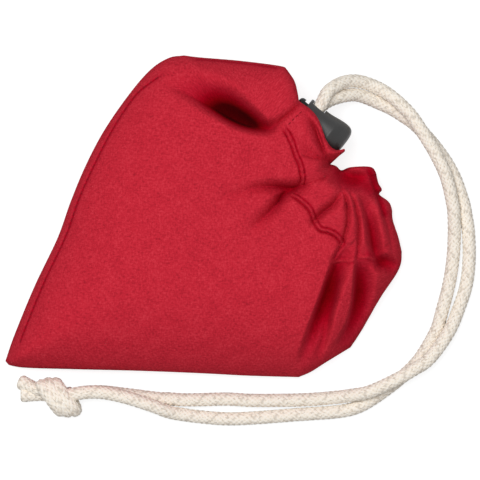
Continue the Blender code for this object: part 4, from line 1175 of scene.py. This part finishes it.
def make_floor(settings):
    """A wide pale table. What the camera sees of it is lifted towards white, with the shadow kept."""
    half = 3000.0
    points = np.array([(-half, -half, 0), (half, -half, 0), (half, half, 0), (-half, half, 0)])
    floor = mesh_object("table_top", points, (np.array([[0, 1, 2, 3]]),))
    material, tree, shader = new_material("pale table")
    shader.inputs["Base Color"].default_value = (settings.floor_grey,) * 3 + (1.0,)
    shader.inputs["Roughness"].default_value = 0.9
    shader.inputs["Specular IOR Level"].default_value = 0.0
    shader.inputs["Emission Color"].default_value = (1.0, 1.0, 1.0, 1.0)
    lift = math_node(tree, "MULTIPLY", seen_directly(tree), settings.floor_lift)
    tree.links.new(lift, shader.inputs["Emission Strength"])
    floor.data.materials.append(material)


def make_world(settings):
    """A plain white surround, dimmer for the light it gives than for what the camera sees."""
    world = bpy.data.worlds.new("surround")
    bpy.context.scene.world = world
    world.use_nodes = True
    tree = world.node_tree
    background = tree.nodes["Background"]
    background.inputs["Color"].default_value = (1.0, 1.0, 1.0, 1.0)
    seen = seen_directly(tree)
    glow = math_node(tree, "MULTIPLY", seen, 1.0 - settings.ambient)
    tree.links.new(math_node(tree, "ADD", glow, settings.ambient), background.inputs["Strength"])


# Settings, operators and panel.


class ClothSettings(bpy.types.PropertyGroup):
    colour: FloatVectorProperty(name="Cloth colour", description="The red cotton's colour", subtype="COLOR",
                                size=3, min=0.0, max=1.0, default=(0.565, 0.0205, 0.0395))
    threads: FloatProperty(name="Threads per metre", description="How fine the weave is",
                           default=2300.0, min=500.0)
    heather: FloatProperty(name="Heather", description="How far the yarns differ in shade", subtype="FACTOR",
                           default=0.38, min=0.0, max=1.0)
    # Painted shade: how far the folds' kept shade darkens the red.
    fold_shade: FloatProperty(name="Fold shade", description="How much darker the deep folds are",
                              subtype="FACTOR", default=0.85, min=0.0, max=1.0)
    stitch_pitch: FloatProperty(name="Stitch pitch", description="Step from one topstitch to the next",
                                subtype="DISTANCE", unit="LENGTH", default=0.0029, min=0.001)


class CordSettings(bpy.types.PropertyGroup):
    diameter: FloatProperty(name="Cord diameter", description="Thickness of the round cord",
                            subtype="DISTANCE", unit="LENGTH", default=0.005, min=0.001)
    colour: FloatVectorProperty(name="Cord colour", description="The natural cotton's colour",
                                subtype="COLOR", size=3, min=0.0, max=1.0, default=(0.95, 0.86, 0.74))
    fleck: FloatVectorProperty(name="Fleck colour", description="Colour of the seed flecks", subtype="COLOR",
                               size=3, min=0.0, max=1.0, default=(0.46, 0.38, 0.30))


class LockSettings(bpy.types.PropertyGroup):
    colour: FloatVectorProperty(name="Lock colour", description="The moulded plastic's colour",
                                subtype="COLOR", size=3, min=0.0, max=1.0, default=(0.018, 0.018, 0.018))


class StageSettings(bpy.types.PropertyGroup):
    camera_height: FloatProperty(name="Camera height", description="Height of the camera above the table",
                                 subtype="DISTANCE", unit="LENGTH", default=3.0, min=0.5)
    frame_width: FloatProperty(name="Frame width", description="Width of the table that the picture shows",
                               subtype="DISTANCE", unit="LENGTH", default=0.192, min=0.05)
    frame_x: FloatProperty(name="Frame centre X", description="Middle of the picture", subtype="DISTANCE",
                           unit="LENGTH", default=0.0146)
    frame_y: FloatProperty(name="Frame centre Y", description="Middle of the picture", subtype="DISTANCE",
                           unit="LENGTH", default=-0.0094)
    floor_grey: FloatProperty(name="Table grey", description="How pale the table is",
                              default=0.35, min=0.0, max=1.0)
    floor_lift: FloatProperty(name="Table lift", description="Added white in what the camera sees",
                              default=0.80)
    ambient: FloatProperty(name="Ambient", description="Light from the surround",
                           default=0.44, min=0.0, max=1.0)
    key_power: FloatProperty(name="Key power", description="Power of the main lamp",
                             subtype="POWER", unit="POWER", default=8.75, min=0.0)


class BAG_OT_stage(bpy.types.Operator):
    """Make the table, the surround, the lamps and the camera"""
    bl_idname = "cotton_bag.stage"
    bl_label = "Make stage"

    def execute(self, context):
        settings = context.scene.cotton_bag_stage
        make_camera(settings)
        make_world(settings)
        make_floor(settings)
        make_lamp("key_lamp", (-0.19, 0.19, 1.15), 0.75, settings.key_power)
        context.scene.view_settings.view_transform = "Standard"
        return {"FINISHED"}


class BAG_OT_cords(bpy.types.Operator):
    """Make the two braided strands, their knot and its tails"""
    bl_idname = "cotton_bag.cords"
    bl_label = "Make cords"

    def execute(self, context):
        settings = context.scene.cotton_bag_cord
        make_cords(settings, cord_material(settings))
        return {"FINISHED"}


class BAG_OT_pouch(bpy.types.Operator):
    """Make the pouch's folded cloth with its seams"""
    bl_idname = "cotton_bag.pouch"
    bl_label = "Make pouch"

    def execute(self, context):
        settings = context.scene.cotton_bag_cloth
        make_pouch(cotton_material(settings, weave_group()))
        return {"FINISHED"}


class BAG_OT_stitches(bpy.types.Operator):
    """Sew the topstitching along the pouch's left edge and on its band"""
    bl_idname = "cotton_bag.stitches"
    bl_label = "Sew stitches"

    def execute(self, context):
        settings = context.scene.cotton_bag_cloth
        thread = thread_material(settings)
        rows = ("edge_topstitching", HEMS[0][0], 1.0), ("band_topstitching", BAND_STITCHES, 0.7)
        for name, route, share in rows:
            line = curve_through(place(route), 400)
            pitch = share * settings.stitch_pitch / MM
            stitch_rows(name, line, upper_side(line), pitch, 0.69 * pitch, 0.5 * share, thread)
        return {"FINISHED"}


class BAG_OT_lock(bpy.types.Operator):
    """Make the cord lock and finish its hidden spring"""
    bl_idname = "cotton_bag.lock"
    bl_label = "Make cord lock"

    def execute(self, context):
        settings = context.scene.cotton_bag_lock
        # The plunger's head is a darker copy of the same plastic: painted shade.
        make_lock(plastic_material(settings), plastic_material(settings, "plunger plastic", 0.4))
        dress_node("lock_spring", steel_material())
        return {"FINISHED"}


class BAG_OT_filling(bpy.types.Operator):
    """Make the folded bag inside the pouch"""
    bl_idname = "cotton_bag.filling"
    bl_label = "Make filling"

    def execute(self, context):
        make_filling(filling_material(context.scene.cotton_bag_cloth))
        return {"FINISHED"}


class BAG_PT_panel(bpy.types.Panel):
    """Sizes, colours and steps of the cotton bag"""
    bl_idname = "BAG_PT_panel"
    bl_label = "Cotton bag"
    bl_space_type = "VIEW_3D"
    bl_region_type = "UI"
    bl_category = "Cotton bag"

    def draw(self, context):
        for group in PROPERTY_NAMES:
            settings = getattr(context.scene, group)
            box = self.layout.box()
            for name in settings.__annotations__:
                box.prop(settings, name)
        for operator in OPERATORS:
            self.layout.operator(operator.bl_idname)


OPERATORS = (BAG_OT_stage, BAG_OT_cords, BAG_OT_pouch, BAG_OT_stitches, BAG_OT_lock, BAG_OT_filling)
PROPERTY_GROUPS = (ClothSettings, CordSettings, LockSettings, StageSettings)
PROPERTY_NAMES = ("cotton_bag_cloth", "cotton_bag_cord", "cotton_bag_lock", "cotton_bag_stage")


def register():
    for group in (*PROPERTY_GROUPS, *OPERATORS, BAG_PT_panel):
        bpy.utils.register_class(group)
    for name, group in zip(PROPERTY_NAMES, PROPERTY_GROUPS):
        setattr(bpy.types.Scene, name, PointerProperty(type=group))


def unregister():
    for name in PROPERTY_NAMES:
        delattr(bpy.types.Scene, name)
    for group in reversed((*PROPERTY_GROUPS, *OPERATORS, BAG_PT_panel)):
        bpy.utils.unregister_class(group)


def plain(bounds):
    return [[float(value) for value in corner] for corner in bounds]


def main():
    register()
    bpy.ops.cotton_bag.stage()
    bpy.ops.cotton_bag.cords()
    bpy.ops.cotton_bag.pouch()
    bpy.ops.cotton_bag.stitches()
    bpy.ops.cotton_bag.lock()
    bpy.ops.cotton_bag.filling()


if __name__ == "__main__":
    main()
